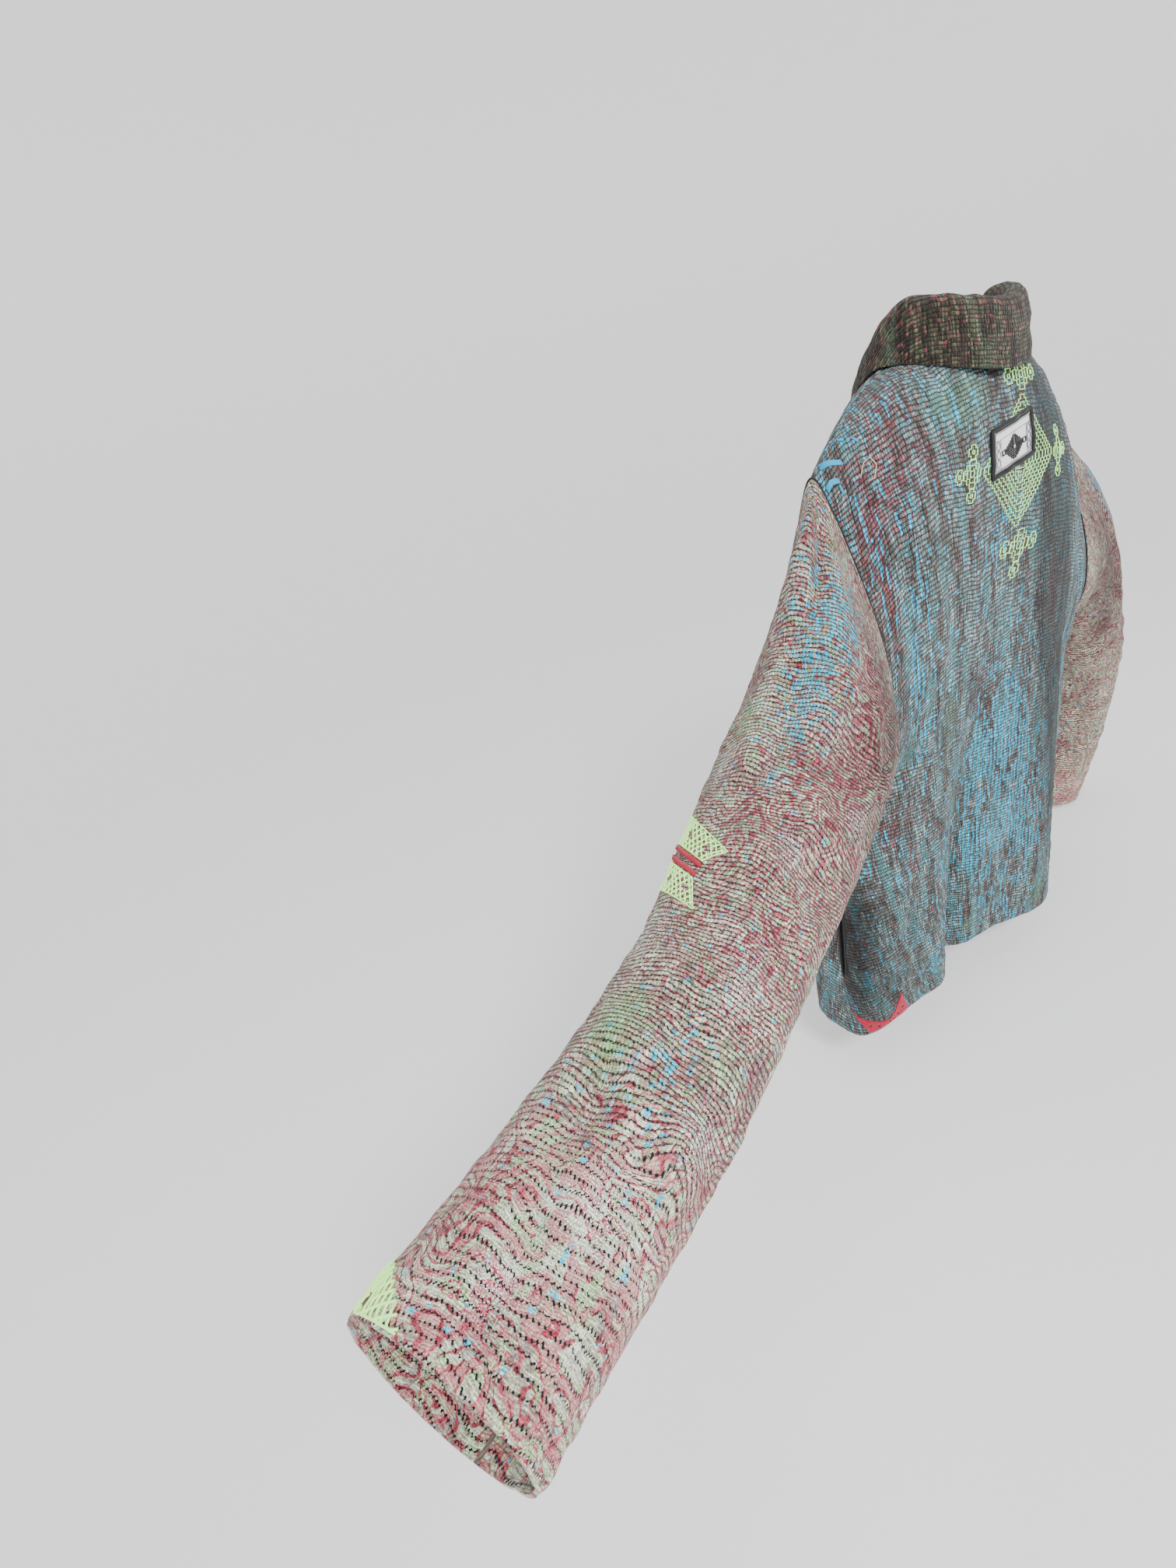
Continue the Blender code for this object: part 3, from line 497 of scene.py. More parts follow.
def addNode(tree, kind, settings=None, inputs=None, out=0):
    # adds a node with its settings, values and links, and gives one of its outputs
    node = tree.nodes.new(kind)
    for key, value in (settings or {}).items():
        if key == "stops":
            while len(node.color_ramp.elements) < len(value):
                node.color_ramp.elements.new(0.5)
            for stop, (place, colour) in zip(node.color_ramp.elements, value):
                stop.position, stop.color = place, hexToLinear(colour)
        else:
            setattr(node, key, value)
    for key, value in (inputs or {}).items():
        if isinstance(value, bpy.types.NodeSocket):
            tree.links.new(value, node.inputs[key])
        else:
            node.inputs[key].default_value = value
    return node.outputs[out]


def newMaterial(name, settings):
    material = bpy.data.materials.new(name)
    material.use_nodes = True
    for key, value in settings.items():
        material.node_tree.nodes["Principled BSDF"].inputs[key].default_value = value
    return material


# What every kind of the cotton shares: sizes in mm, and the tones of its rose bands, worn specks and of the
# painted shade in its needle holes
cotton = {"waver": (11.0, 11.0), "jitter": (2.2, 2.2), "yarn": (0.9, 0.9), "curl": 25.0, "roseBand": 9.0,
          "hairline": 0.85, "calmOver": 90.0, "rose": "#CC6476", "speck": "#ECEAF0", "holeShade": "#0E0F12"}


def kanthaCotton(name, look):
    # worn cotton saris, layered and quilted by hand: soft, matt, with a faint nap. Rows of short
    # running stitch pull the cloth into small beads, and the printed and dyed threads show as
    # streaks, curling maroon lines and sky blue dashes
    material = newMaterial(name, {"Roughness": 0.88, "Specular IOR Level": 0.2,
                                  "Sheen Weight": 0.12, "Sheen Roughness": 0.6})
    tree = material.node_tree

    def maths(kind, a, b=0.0, c=0.0):
        return addNode(tree, "ShaderNodeMath", {"operation": kind}, {0: a, 1: b, 2: c})

    times, over, minus, pingPong, floor, fract = (
        partial(maths, kind) for kind in ("MULTIPLY", "DIVIDE", "SUBTRACT", "PINGPONG", "FLOOR", "FRACT"))

    def added(base, *parts):
        # the base plus each part times its amount
        for part, amount in parts:
            base = maths("MULTIPLY_ADD", part, amount, base)
        return base

    def pattern(kind, x, y, settings):
        place = addNode(tree, "ShaderNodeCombineXYZ", None, {0: x, 1: y})
        return addNode(tree, kind, {"noise_dimensions": "2D"}, {"Vector": place, **settings})

    def noise(x, y, detail=1.0):
        return pattern("ShaderNodeTexNoise", x, y, {"Scale": 1.0, "Detail": detail})

    def clouds(x, y, sizes, detail=1.0):
        return noise(over(x, sizes[0]), over(y, sizes[1]), detail)

    def between(value, low, high, toLow=0.0, toHigh=1.0):
        return addNode(tree, "ShaderNodeMapRange", {"interpolation_type": "SMOOTHSTEP"},
                       {"Value": value, "From Min": low, "From Max": high, "To Min": toLow, "To Max": toHigh})

    def mixed(factor, first, second, how="MIX"):
        second = hexToLinear(second) if isinstance(second, str) else second
        return addNode(tree, "ShaderNodeMix", {"data_type": "RGBA", "blend_type": how},
                       {0: factor, 6: first, 7: second}, 2)

    def ramp(stops, place):
        return addNode(tree, "ShaderNodeValToRGB", {"stops": look[stops]}, {0: place})

    def millimetres(layer):
        place = addNode(tree, "ShaderNodeUVMap", {"uv_map": layer})
        place = addNode(tree, "ShaderNodeVectorMath", {"operation": "SCALE"}, {0: place, "Scale": 1000.0})
        return addNode(tree, "ShaderNodeSeparateXYZ", None, {0: place}).node.outputs[:2]

    def channels(layer):
        tints = addNode(tree, "ShaderNodeAttribute", {"attribute_name": layer})
        return addNode(tree, "ShaderNodeSeparateColor", None, {0: tints}).node.outputs[:3]

    u, v = millimetres("cloth")
    q, p = millimetres("rows")
    # pale is pale thread and also painted highlight on fold ridges; the second layer's middle channel is
    # painted shade
    blueness, redness, paleAndHighlight = channels("tint")
    greenness, paintedShade, speckled = channels("stain")

    # stitch lattice: row and stitch numbers, and the place inside each
    waver, jitter = (minus(clouds(u, v, cotton[k]), 0.5) for k in ("waver", "jitter"))
    beaded = between(v, look["calmFrom"], look["calmFrom"] + cotton["calmOver"], 1.0, 0.22)
    rowPlace = added(over(p, look["rowPitch"]), (waver, 0.8), (times(jitter, beaded), look["uneven"]))
    row, inRow = floor(rowPlace), fract(rowPlace)
    edge, ridge = pingPong(inRow, 0.5), maths("SINE", times(inRow, np.pi))
    golden = 0.618   # each row starts its stitches elsewhere
    stitchPlace = added(over(q, look["stitch"]), (fract(times(row, golden)), look["stagger"]), (waver, 1.2))
    beadChance = pattern("ShaderNodeTexWhiteNoise", floor(stitchPlace), row, {})
    nearHole = pingPong(fract(stitchPlace), 0.5)

    # ground: slow drift, fine streaks of thread and a little chance for each bead
    streak = clouds(q, p, look["streak"], 2.0)
    chanceHere = times(minus(beadChance, 0.5), beaded)
    ground = added(clouds(u, v, look["driftSize"], 3.0), (minus(streak, 0.5), look["streakAmount"]),
                   (chanceHere, look["beadAmount"]), (paleAndHighlight, 0.30))
    colour = ramp("ground", ground)

    # hue wanders slowly between the layers' own dyes, greener where it is painted so
    wanderU, wanderV = look["wanderSize"]
    wander = noise(added(31.0, (u, 1.0 / wanderU)), added(7.0, (v, 1.0 / wanderV)), 3.0)
    colour = mixed(between(wander, 0.53, 0.64, 0.0, 0.55), colour, look["wander"][0])
    colour = mixed(between(wander, 0.44, 0.33, 0.0, 0.32), colour, look["wander"][1])
    colour = mixed(between(added(greenness, (streak, 0.7)), 0.50, 1.05, 0.0, 0.75), colour, look["green"])

    # curling printed lines: contours of the distance across the rows with slow noise added
    curl = noise(over(u, cotton["curl"]), added(5.0, (v, 1.0 / cotton["curl"])), 0.8)
    line = pingPong(added(over(p, look["printPitch"]), (curl, look["curl"])), 1.0)
    patches = clouds(q, p, look["redSize"], 2.0)
    redAt = added(times(patches, look["blotches"]), (line, look["lineAmount"]), (redness, 0.30),
                  (greenness, -0.30), (paleAndHighlight, -0.16), (beadChance, look["redBeads"]), (ridge, -0.12))
    red = between(redAt, look["redFrom"], look["redFrom"] + 0.09)
    band = pingPong(added(over(p, cotton["roseBand"]), (curl, 7.0)), 1.0)
    rose = between(added(band, (patches, 0.9)), 0.95, 1.15)
    rose = times(rose, added(look["rose"], (beaded, -0.5 * look["rose"])))
    colour = mixed(rose, colour, cotton["rose"])
    redTone = ramp("red", added(times(beadChance, 0.3), (streak, 0.9)))
    colour = mixed(times(red, look["redStrength"]), colour, redTone)

    # painted shade in the grooves between the rows, tinted towards a dark maroon
    gap = times(between(edge, 0.20, 0.04), between(nearHole, 0.42, 0.10, look["gapAlways"], 1.0))
    colour = mixed(times(times(gap, beaded), look["grooveShadeAmount"]), colour, look["gap"])

    # sky blue dashes in narrow columns that cross the rows
    columnPlace = added(over(q, look["columnPitch"]), (waver, 0.9))
    inColumn = added(pingPong(fract(columnPlace), 0.5), (blueness, 0.06))
    inColumn = between(inColumn, look["columnFrom"], look["columnFrom"] + 0.07)
    blueNoise = noise(times(floor(columnPlace), 5.17), over(p, look["blueLong"]), 1.5)
    blueAt = added(blueNoise, (blueness, 0.40), (beadChance, look["blueBeads"]), (jitter, 0.10),
                   (ridge, 0.06))
    blue = times(inColumn, between(blueAt, look["blueFrom"], look["blueFrom"] + 0.05))
    blueTone = ramp("blue", added(times(beadChance, 0.3), (streak, 0.8)))
    colour = mixed(times(blue, 0.94), colour, blueTone)

    # worn specks where the nap has gone
    grain = clouds(u, v, cotton["yarn"])
    speck = between(added(grain, (jitter, 0.5)), 0.54, 0.62)
    speckAt = maths("ADD", speckled, times(between(wander, 0.54, 0.62), look["specks"]))
    colour = mixed(times(speck, speckAt), colour, cotton["speck"])

    # painted shade, multiplied into the colour: between the rows, between the beads, in the weave, along the
    # hairline threads, and where the second tint layer paints shade
    valley = between(nearHole, 0.10, 0.42, look["valley"],
                     1.0 - (1.0 - look["valley"]) * (0.4 + look["gapAlways"]))
    rowShade = added(valley, (between(edge, 0.0, 0.30), minus(1.10, valley)))
    beadShade = between(nearHole, 0.0, 0.28, look["beadShade"], 1.06)
    hair = pingPong(over(added(p, (waver, 2.0)), cotton["hairline"]), 0.5)
    shade = added(1.0, (minus(rowShade, 1.0), beaded))
    for part in (added(1.0, (minus(beadShade, 1.0), beaded)), between(grain, 0.25, 0.75, 0.62, 1.38),
                 added(1.0, (chanceHere, 1.14 - look["beadDark"])),
                 between(hair, 0.0, 0.35, look["hairlines"], 1.03), added(1.0, (paintedShade, -0.76))):
        shade = times(shade, part)
    colour = mixed(1.0, colour, shade, "MULTIPLY")

    # painted shade: a near-black dot in the small hole where the thread dives at each stitch
    across = over(times(edge, look["rowPitch"]), look["hole"][1])
    beside = over(times(nearHole, look["stitch"]), look["hole"][0])
    far = maths("ADD", maths("POWER", across, 2.0), maths("POWER", beside, 2.0))
    hole = times(between(far, 1.25, 0.7), between(beadChance, look["holeFrom"], look["holeFrom"] + 0.1))
    colour = mixed(hole, colour, cotton["holeShade"])

    height = added(times(ridge, beaded), (grain, 0.45), (times(between(nearHole, 0.0, 0.35), beaded), 0.55),
                   (jitter, 0.5), (hole, -0.7))
    bump = addNode(tree, "ShaderNodeBump", None,
                   {"Strength": look["bump"], "Distance": 0.0011, "Height": height})
    shader = tree.nodes["Principled BSDF"]
    tree.links.new(colour, shader.inputs["Base Color"])
    tree.links.new(bump, shader.inputs["Normal"])
    return material


bodyLook = {
    "rowPitch": 3.9, "stitch": 2.6, "stagger": 0.4, "uneven": 0.22, "driftSize": (13.0, 95.0),
    "streak": (1.7, 22.0), "streakAmount": 1.15, "beadAmount": 0.30, "wanderSize": (15.0, 75.0),
    "curl": 4.0, "printPitch": 4.0, "lineAmount": 0.14, "rose": 0.0,
    "redSize": (3.6, 5.0), "redBeads": 0.26, "redFrom": 0.73, "blotches": 1.0, "redStrength": 0.80,
    "columnPitch": 5.2, "columnFrom": 0.24, "blueLong": 25.0, "blueFrom": 0.74, "blueBeads": 0.15,
    "specks": 0.06, "valley": 0.30, "beadShade": 0.70, "beadDark": 0.82, "hairlines": 0.94,
    "calmFrom": 2000.0, "hole": (0.45, 0.50), "holeFrom": 0.75, "bump": 0.9,
    "gap": "#33211F", "grooveShadeAmount": 0.74, "gapAlways": 0.42,
    "ground": [(0.18, "#363231"), (0.36, "#5A5652"), (0.50, "#5E6D6E"), (0.64, "#678C90"), (0.88, "#9EC4C5")],
    "wander": ("#3F9094", "#5E4A40"), "green": "#5F8A74",
    "red": [(0.2, "#3A141A"), (0.5, "#641E2A"), (0.9, "#9A4450")],
    "blue": [(0.2, "#0090B8"), (0.55, "#00B0DC"), (0.9, "#30D0F6")],
}
sleeveLook = {
    "rowPitch": 3.4, "stitch": 2.6, "stagger": 0.5, "uneven": 0.40, "driftSize": (26.0, 30.0),
    "streak": (5.0, 0.9), "streakAmount": 1.05, "beadAmount": 0.30, "wanderSize": (11.0, 11.0),
    "curl": 17.0, "printPitch": 5.0, "lineAmount": 0.66, "rose": 0.72,
    "redSize": (4.0, 2.4), "redBeads": 0.14, "redFrom": 0.80, "blotches": 0.72, "redStrength": 0.92,
    "columnPitch": 4.8, "columnFrom": 0.10, "blueLong": 6.0, "blueFrom": 0.84, "blueBeads": 0.16,
    "specks": 0.34, "valley": 0.14, "beadShade": 0.76, "beadDark": 0.68, "hairlines": 0.62,
    "calmFrom": 440.0, "hole": (0.62, 0.55), "holeFrom": 0.12, "bump": 0.8,
    "gap": "#3A1216", "grooveShadeAmount": 0.72, "gapAlways": 0.34,
    "ground": [(0.20, "#84726A"), (0.38, "#AAA08E"), (0.52, "#C8D0B2"), (0.68, "#D9E4CA"), (0.88, "#FAFDEE")],
    "wander": ("#9CCE7E", "#9888A0"), "green": "#98D088",
    "red": [(0.2, "#4A121C"), (0.5, "#9A2C3E"), (0.9, "#D06072")],
    "blue": [(0.2, "#00A8D0"), (0.55, "#10C8EC"), (0.9, "#80E8FA")],
}
# the collar's cotton: the body's with a near-black ground and darker hues, a shaded copy that paints the
# shade over the collar
collarShadedLook = dict(
    bodyLook, rowPitch=3.2, redFrom=0.84, blueFrom=1.08, wander=("#3A5232", "#38201A"),
    ground=[(0.18, "#14110D"), (0.38, "#241F17"), (0.52, "#302E22"), (0.68, "#444632"), (0.88, "#666850")])
bodyCotton = kanthaCotton("quiltedBodyCotton", bodyLook)
sleeveCotton = kanthaCotton("quiltedSleeveCotton", sleeveLook)
collarShadedCotton = kanthaCotton("quiltedCollarCottonShaded", collarShadedLook)
print("stage: quilted cotton made")

# Creases drawn on the cloth: start and end (u, v), half width and depth, in metres.
# u is the distance from the middle of the back (or from the side seam, or round the sleeve from
# its top), v the distance up from the hem (or along the sleeve from the armhole)
creases = {
    "back": [(0.150, 0.50, 0.158, 0.34, 0.006, 0.0022), (0.185, 0.30, 0.120, 0.42, 0.010, -0.0022),
             (0.200, 0.26, 0.150, 0.33, 0.008, 0.0016), (0.05, 0.10, 0.075, 0.30, 0.012, 0.0018),
             (-0.02, 0.05, -0.03, 0.26, 0.010, -0.0016), (-0.19, 0.28, -0.12, 0.40, 0.011, -0.0024),
             (-0.15, 0.50, -0.165, 0.36, 0.008, 0.0020), (0.24, 0.02, 0.20, 0.20, 0.012, 0.0020),
             (-0.06, 0.52, 0.03, 0.50, 0.010, 0.0010), (0.20, 0.13, 0.26, 0.10, 0.010, -0.0014)],
    "front": [(0.05, 0.24, 0.14, 0.34, 0.010, -0.0024), (0.03, 0.30, 0.10, 0.42, 0.009, 0.0018),
              (0.10, 0.04, 0.12, 0.24, 0.012, 0.0018), (0.20, 0.10, 0.18, 0.30, 0.012, -0.0016),
              (0.07, 0.56, 0.15, 0.48, 0.010, -0.0014)],
    "sleeve": [(-0.008, 0.440, 0.004, 0.515, 0.009, -0.0090), (0.002, 0.500, 0.022, 0.600, 0.009, -0.0090),
               (0.010, 0.015, -0.006, 0.130, 0.007, -0.0078), (-0.006, 0.110, -0.002, 0.240, 0.008, -0.0078),
               (-0.020, 0.030, -0.026, 0.200, 0.010, 0.0042), (0.024, 0.060, 0.018, 0.240, 0.010, 0.0036),
               (0.068, 0.075, 0.078, 0.160, 0.006, 0.0040), (0.074, 0.140, 0.100, 0.215, 0.006, 0.0036),
               (0.112, 0.150, 0.104, 0.185, 0.004, -0.0050),
               (0.06, 0.05, 0.10, 0.26, 0.008, -0.0022), (0.11, 0.02, 0.12, 0.16, 0.007, 0.0020),
               (0.02, 0.22, 0.08, 0.34, 0.009, -0.0016), (-0.05, 0.06, -0.09, 0.20, 0.010, -0.0022),
               (0.07, 0.34, 0.02, 0.44, 0.009, -0.0018), (0.00, 0.46, 0.06, 0.58, 0.010, -0.0022),
               (-0.10, 0.30, -0.04, 0.38, 0.010, -0.0020), (0.10, 0.40, 0.12, 0.54, 0.010, 0.0016),
               (-0.13, 0.12, -0.10, 0.24, 0.009, 0.0018)],
}


flowWaves = {"along": (0.05, 0.12, 12), "across": (0.045, 0.11, 14)}   # sizes and number of slow waves


def rowFlow(u, v, seed, amount, swirls=(), pitches=None):
    # distances along and across the stitch rows: the cloth's own, with slow waves; a table of
    # row pitches spreads the rows, and beside each swirl's middle they turn into arcs
    along = u + amount * 0.5 * puckers(u, v, seed + 100, *flowWaves["along"])
    across = v + amount * puckers(u, v, seed + 200, *flowWaves["across"])
    if pitches is not None:
        steps = np.linspace(-0.05, 0.75, 161)
        density = pitches[2] / np.interp(steps, *pitches[:2])
        total = np.cumsum((density[1:] + density[:-1]) * 0.0025)   # half of one step
        across = np.interp(across, steps, np.concatenate([[0.0], total]))
    for u0, v0, radius, direction in swirls:
        far = np.hypot(u - u0, v - v0)
        towards = np.cos(np.arctan2(v - v0, u - u0) - np.radians(direction))
        weight = 0.42 * smooth(1.5 - far / radius) * smooth(0.55 + 0.75 * towards)
        middle = np.interp(v0, v[:, 0], across[:, across.shape[1] // 2])
        across = across * (1.0 - weight) + (middle + far) * weight
    return stacked(along, across)


def dressedPanel(panel, columns, table, seed, spots):
    grid, normals = bodyPanel(panel, columns)
    middle = int(np.argmin(np.abs(grid[0, :, 0])))   # the back's middle, or a front's open edge
    length = runLength(grid)
    u = length[:, middle:middle + 1] - length
    v = runLength(grid, axis=0)
    if panel != "back":   # the rows narrow at once where the armhole starts, the cloth doesn't
        steps = np.diff(v, axis=0)
        steps = np.minimum(steps, 1.04 * steps[:, middle:middle + 1])
        v = np.concatenate([np.zeros_like(v[:1]), np.cumsum(steps, axis=0)])
    place = u if panel == "back" else np.abs(u)
    hem = softEdges(u.shape, False)
    relief = pulled("body", u, v, seed) + creased(place, v, table) + hem
    calm = smooth(np.minimum(length, length[:, -1:] - length) / calmWithin)
    grid = grid + normals * (relief * calm + hem * (1 - calm))[..., None]
    return {"points": grid, "normals": normals, "u": u, "v": v, "tint": painted(place, v, spots),
            "flow": rowFlow(u, v, seed, 0.0011)}


# Spots of the tints on the cloth: (u, v, half widths, in mm, and amount). Blue, red, pale and green are where
# those threads gather, speck where the cloth is worn; pale also paints highlights along fold ridges, and dark
# is painted shade
backSpots = {
    "blue": [(176, 442, 7, 45, 0.45), (161, 489, 6, 25, 0.4), (47, 493, 12, 22, 0.4),
             (30, 294, 20, 50, 0.5), (38, 180, 40, 100, 0.5), (166, 370, 12, 70, 0.3),
             (-10, 178, 18, 50, 0.4), (70, 151, 9, 30, 0.55), (68, 281, 8, 30, 0.4),
             (153, 169, 8, 20, 0.55), (163, 76, 8, 22, 0.55), (195, 40, 8, 12, 0.6),
             (217, 174, 6, 16, 0.35), (293, 72, 5, 14, 0.45), (235, 4, 12, 9, 0.5),
             (166, 621, 20, 26, 0.15), (114, 662, 16, 16, 0.2), (200, 542, 8, 22, 0.25),
             (76, 593, 14, 14, 0.2), (-170, 300, 20, 60, 0.4), (-230, 120, 20, 50, 0.4)],
    "red": [(178, 590, 20, 30, 0.75), (150, 637, 20, 18, 0.5), (206, 557, 12, 26, 0.75),
            (130, 590, 18, 24, 0.4), (196, 500, 8, 40, 0.6), (220, 241, 8, 9, 0.95),
            (195, 200, 8, 12, 0.7), (174, 473, 10, 16, 0.2), (277, 139, 8, 26, 0.35),
            (-42, 416, 8, 30, 0.9), (-150, 560, 30, 40, 0.4), (-220, 300, 20, 50, 0.4)],
    # pale: pale threads, and the long narrow strokes are painted highlights along lit fold ridges
    "pale": [(184, 504, 4, 75, 0.55), (79, 192, 4, 34, 0.45), (87, 89, 4, 26, 0.45),
             (230, 160, 7, 18, 0.6), (-33, 463, 3, 60, 0.55), (177, 231, 2, 6, 1.0), (185, 178, 2, 5, 0.9),
             (-120, 420, 5, 60, 0.4)],
    "green": [(61, 616, 26, 20, 0.55), (103, 625, 16, 16, 0.3), (124, 341, 14, 36, 0.45),
              (110, 221, 8, 12, 0.9), (-35, 36, 10, 18, 0.7), (76, 27, 12, 14, 0.5),
              (221, 53, 14, 12, 0.3), (143, 522, 14, 28, 0.3)],
    # dark: painted shade on the back's side that turns away beyond its middle fold, on the flap below the
    # sleeve, and in folds
    "dark": [(269, 157, 10, 30, 0.75), (290, 110, 18, 70, 0.85), (314, 72, 14, 40, 0.7),
             (240, 80, 30, 80, 0.34), (-54, 465, 30, 90, 1.2), (-76, 570, 26, 60, 1.1),
             (-64, 340, 30, 100, 1.2), (-90, 190, 30, 90, 1.0), (86, 369, 9, 24, 0.15),
             (105, 120, 14, 70, 0.35)]}
# as on the back, dark is painted shade and pale is partly painted highlight
frontSpots = {"blue": [(100, 300, 60, 100, 0.4)], "red": [(120, 500, 60, 80, 0.4)],
              "pale": [(200, 200, 40, 80, 0.4)], "green": [(60, 150, 30, 40, 0.4)],
              "dark": [(20, 110, 30, 60, 0.5)]}
sleeveSpots = {
    "blue": [(22, 108, 20, 40, 0.62), (46, 72, 14, 24, 0.6), (16, 159, 14, 26, 0.45),
             (21, 205, 9, 26, 0.3), (33, 404, 9, 20, 0.3), (33, 439, 12, 14, 0.36),
             (41, 468, 16, 20, 0.22), (-14, 506, 8, 12, 0.3), (9, 472, 14, 10, 0.2),
             (-3, 36, 12, 30, 0.25), (-120, 200, 20, 40, 0.4)],
    "red": [(79, 155, 16, 50, 0.6), (55, 128, 12, 20, 0.5), (20, 60, 60, 60, 0.25),
            (108, 140, 34, 80, 0.5), (40, 270, 70, 60, 0.25), (50, 332, 15, 20, 0.6),
            (13, 251, 9, 18, 0.55), (49, 207, 18, 22, 0.3), (29, 512, 16, 14, 0.5), (-9, 533, 12, 16, 0.5),
            (-46, 524, 10, 12, 0.4), (-11, 553, 12, 12, 0.4), (92, 449, 12, 24, 0.4),
            (111, 475, 16, 20, 0.35), (109, 506, 20, 18, 0.4), (-36, 92, 10, 40, 0.35),
            (65, 376, 12, 25, 0.25), (135, 211, 8, 14, 0.6), (-100, 420, 20, 60, 0.4)],
    "pale": [(29, 524, 10, 10, 0.5), (9, 521, 9, 12, 0.5), (34, 551, 16, 14, 0.45), (68, 518, 16, 16, 0.4),
             (-7, 179, 10, 12, 0.6), (-21, 203, 9, 9, 0.4), (-34, 354, 8, 26, 0.5), (86, 183, 8, 12, 0.3)],
    "green": [(-21, 175, 10, 14, 0.6), (-9, 422, 15, 18, 0.7), (-3, 449, 11, 12, 0.55),
              (0, 506, 9, 10, 0.5), (57, 418, 12, 12, 0.5), (36, 30, 10, 14, 0.45),
              (26, 542, 14, 14, 0.35), (107, 199, 8, 10, 0.4)],
    # dark: painted shade, most of it on the sleeve's back side near the armhole
    "dark": [(135, 211, 9, 20, 0.4), (30, 90, 70, 110, 0.20), (116, 120, 34, 80, 0.80),
             (-40, 120, 24, 90, 0.2)],
    "speck": [(47, 267, 7, 9, 1.0), (91, 215, 7, 9, 1.0), (49, 369, 7, 13, 1.0), (71, 459, 9, 10, 1.0),
              (45, 518, 12, 12, 1.0), (23, 567, 9, 9, 1.0), (-31, 223, 8, 9, 0.8), (-22, 358, 8, 12, 0.6),
              (46, 171, 7, 12, 0.6), (20, 155, 5, 9, 0.6), (28, 340, 6, 8, 0.5)]}

# Middles, sizes and open side, in degrees, of the sleeve's swirls; its row pitches along it
sleeveSwirls = [(0.0434, 0.488, 0.034, 30), (0.072, 0.300, 0.016, 90), (-0.045, 0.565, 0.026, 80),
                (-0.08, 0.42, 0.030, 0), (-0.10, 0.20, 0.024, 180)]
sleevePitches = ([0.0, 0.10, 0.20, 0.30, 0.42, 0.50, 0.64], [3.3, 3.2, 3.0, 3.0, 3.5, 4.7, 5.8], 3.4)

panels = {"back": dressedPanel("back", 176, creases["back"], 11, backSpots),
          "front_left": dressedPanel("front_left", 84, creases["front"], 12, frontSpots),
          "front_right": dressedPanel("front_right", 84, creases["front"], 13, frontSpots)}
tubes = {}
allowance = {"high": 0.0013, "at": 0.0055, "wide": 0.0035}   # the armhole seam's, under the sleeve
for node, sleeve, side, seed in (("sleeve_left", leftSleeve, 1.0, 21),
                                 ("sleeve_right", rightSleeve, -1.0, 22)):
    rings, normals = sleeveTube(sleeve, side)
    closed = closeRing(rings)
    length = runLength(closed)
    length = np.where(length > length[:, armSteps:armSteps + 1], length - length[:, -1:], length)
    rise = np.repeat(runLength(rings.mean(axis=1, keepdims=True), axis=0), closed.shape[1], axis=1)
    u, v = length[:, :-1], rise[:, :-1]
    relief = (pulled("sleeve", u, v, seed) + creased(u, v, creases["sleeve"])) * smooth(v / calmWithin)
    relief += allowance["high"] * np.exp(-((v - allowance["at"]) / allowance["wide"]) ** 2)
    relief += softEdges(relief.shape, True)
    tubes[node] = {"points": rings + normals * relief[..., None], "normals": normals, "u": u, "v": v,
                   "tint": painted(u, v, sleeveSpots), "uvU": length, "uvV": rise,
                   "flow": rowFlow(length, rise, seed, 0.0024, sleeveSwirls, sleevePitches)}

# Seams: panels and sleeves stop half a gap short of each other and lean the same way there
seamGap, armGap = 0.0003, 0.0004
for name, sheet in panels.items():
    grid, normals = sheet["points"], sheet["normals"]
    x = grid[-1, :, 0]
    onSeam = np.abs(x) >= cut["neckX"]
    step = 0.001
    slope = (shoulderZ(np.abs(x) + step) - shoulderZ(np.abs(x) - step)) / (2 * step)
    square = unit(np.stack([-slope * np.sign(x), np.zeros(len(x)), np.ones(len(x))], axis=1))
    normals[-1, onSeam] = square[onSeam]
    grid[-1, onSeam, 1] += (1.0 if name == "back" else -1.0) * seamGap / 2.0
backSheet = panels["back"]
slit = {"foot": -0.578, "long": 0.118, "opens": 0.0036}   # the pockets' slits in the side seams
mouth = (backSheet["points"][:rowsBelow + 1, 0, 2] - slit["foot"]) / slit["long"]
opening = slit["opens"] * np.clip(4.0 * mouth * (1.0 - mouth), 0.0, 1.0) ** 0.5
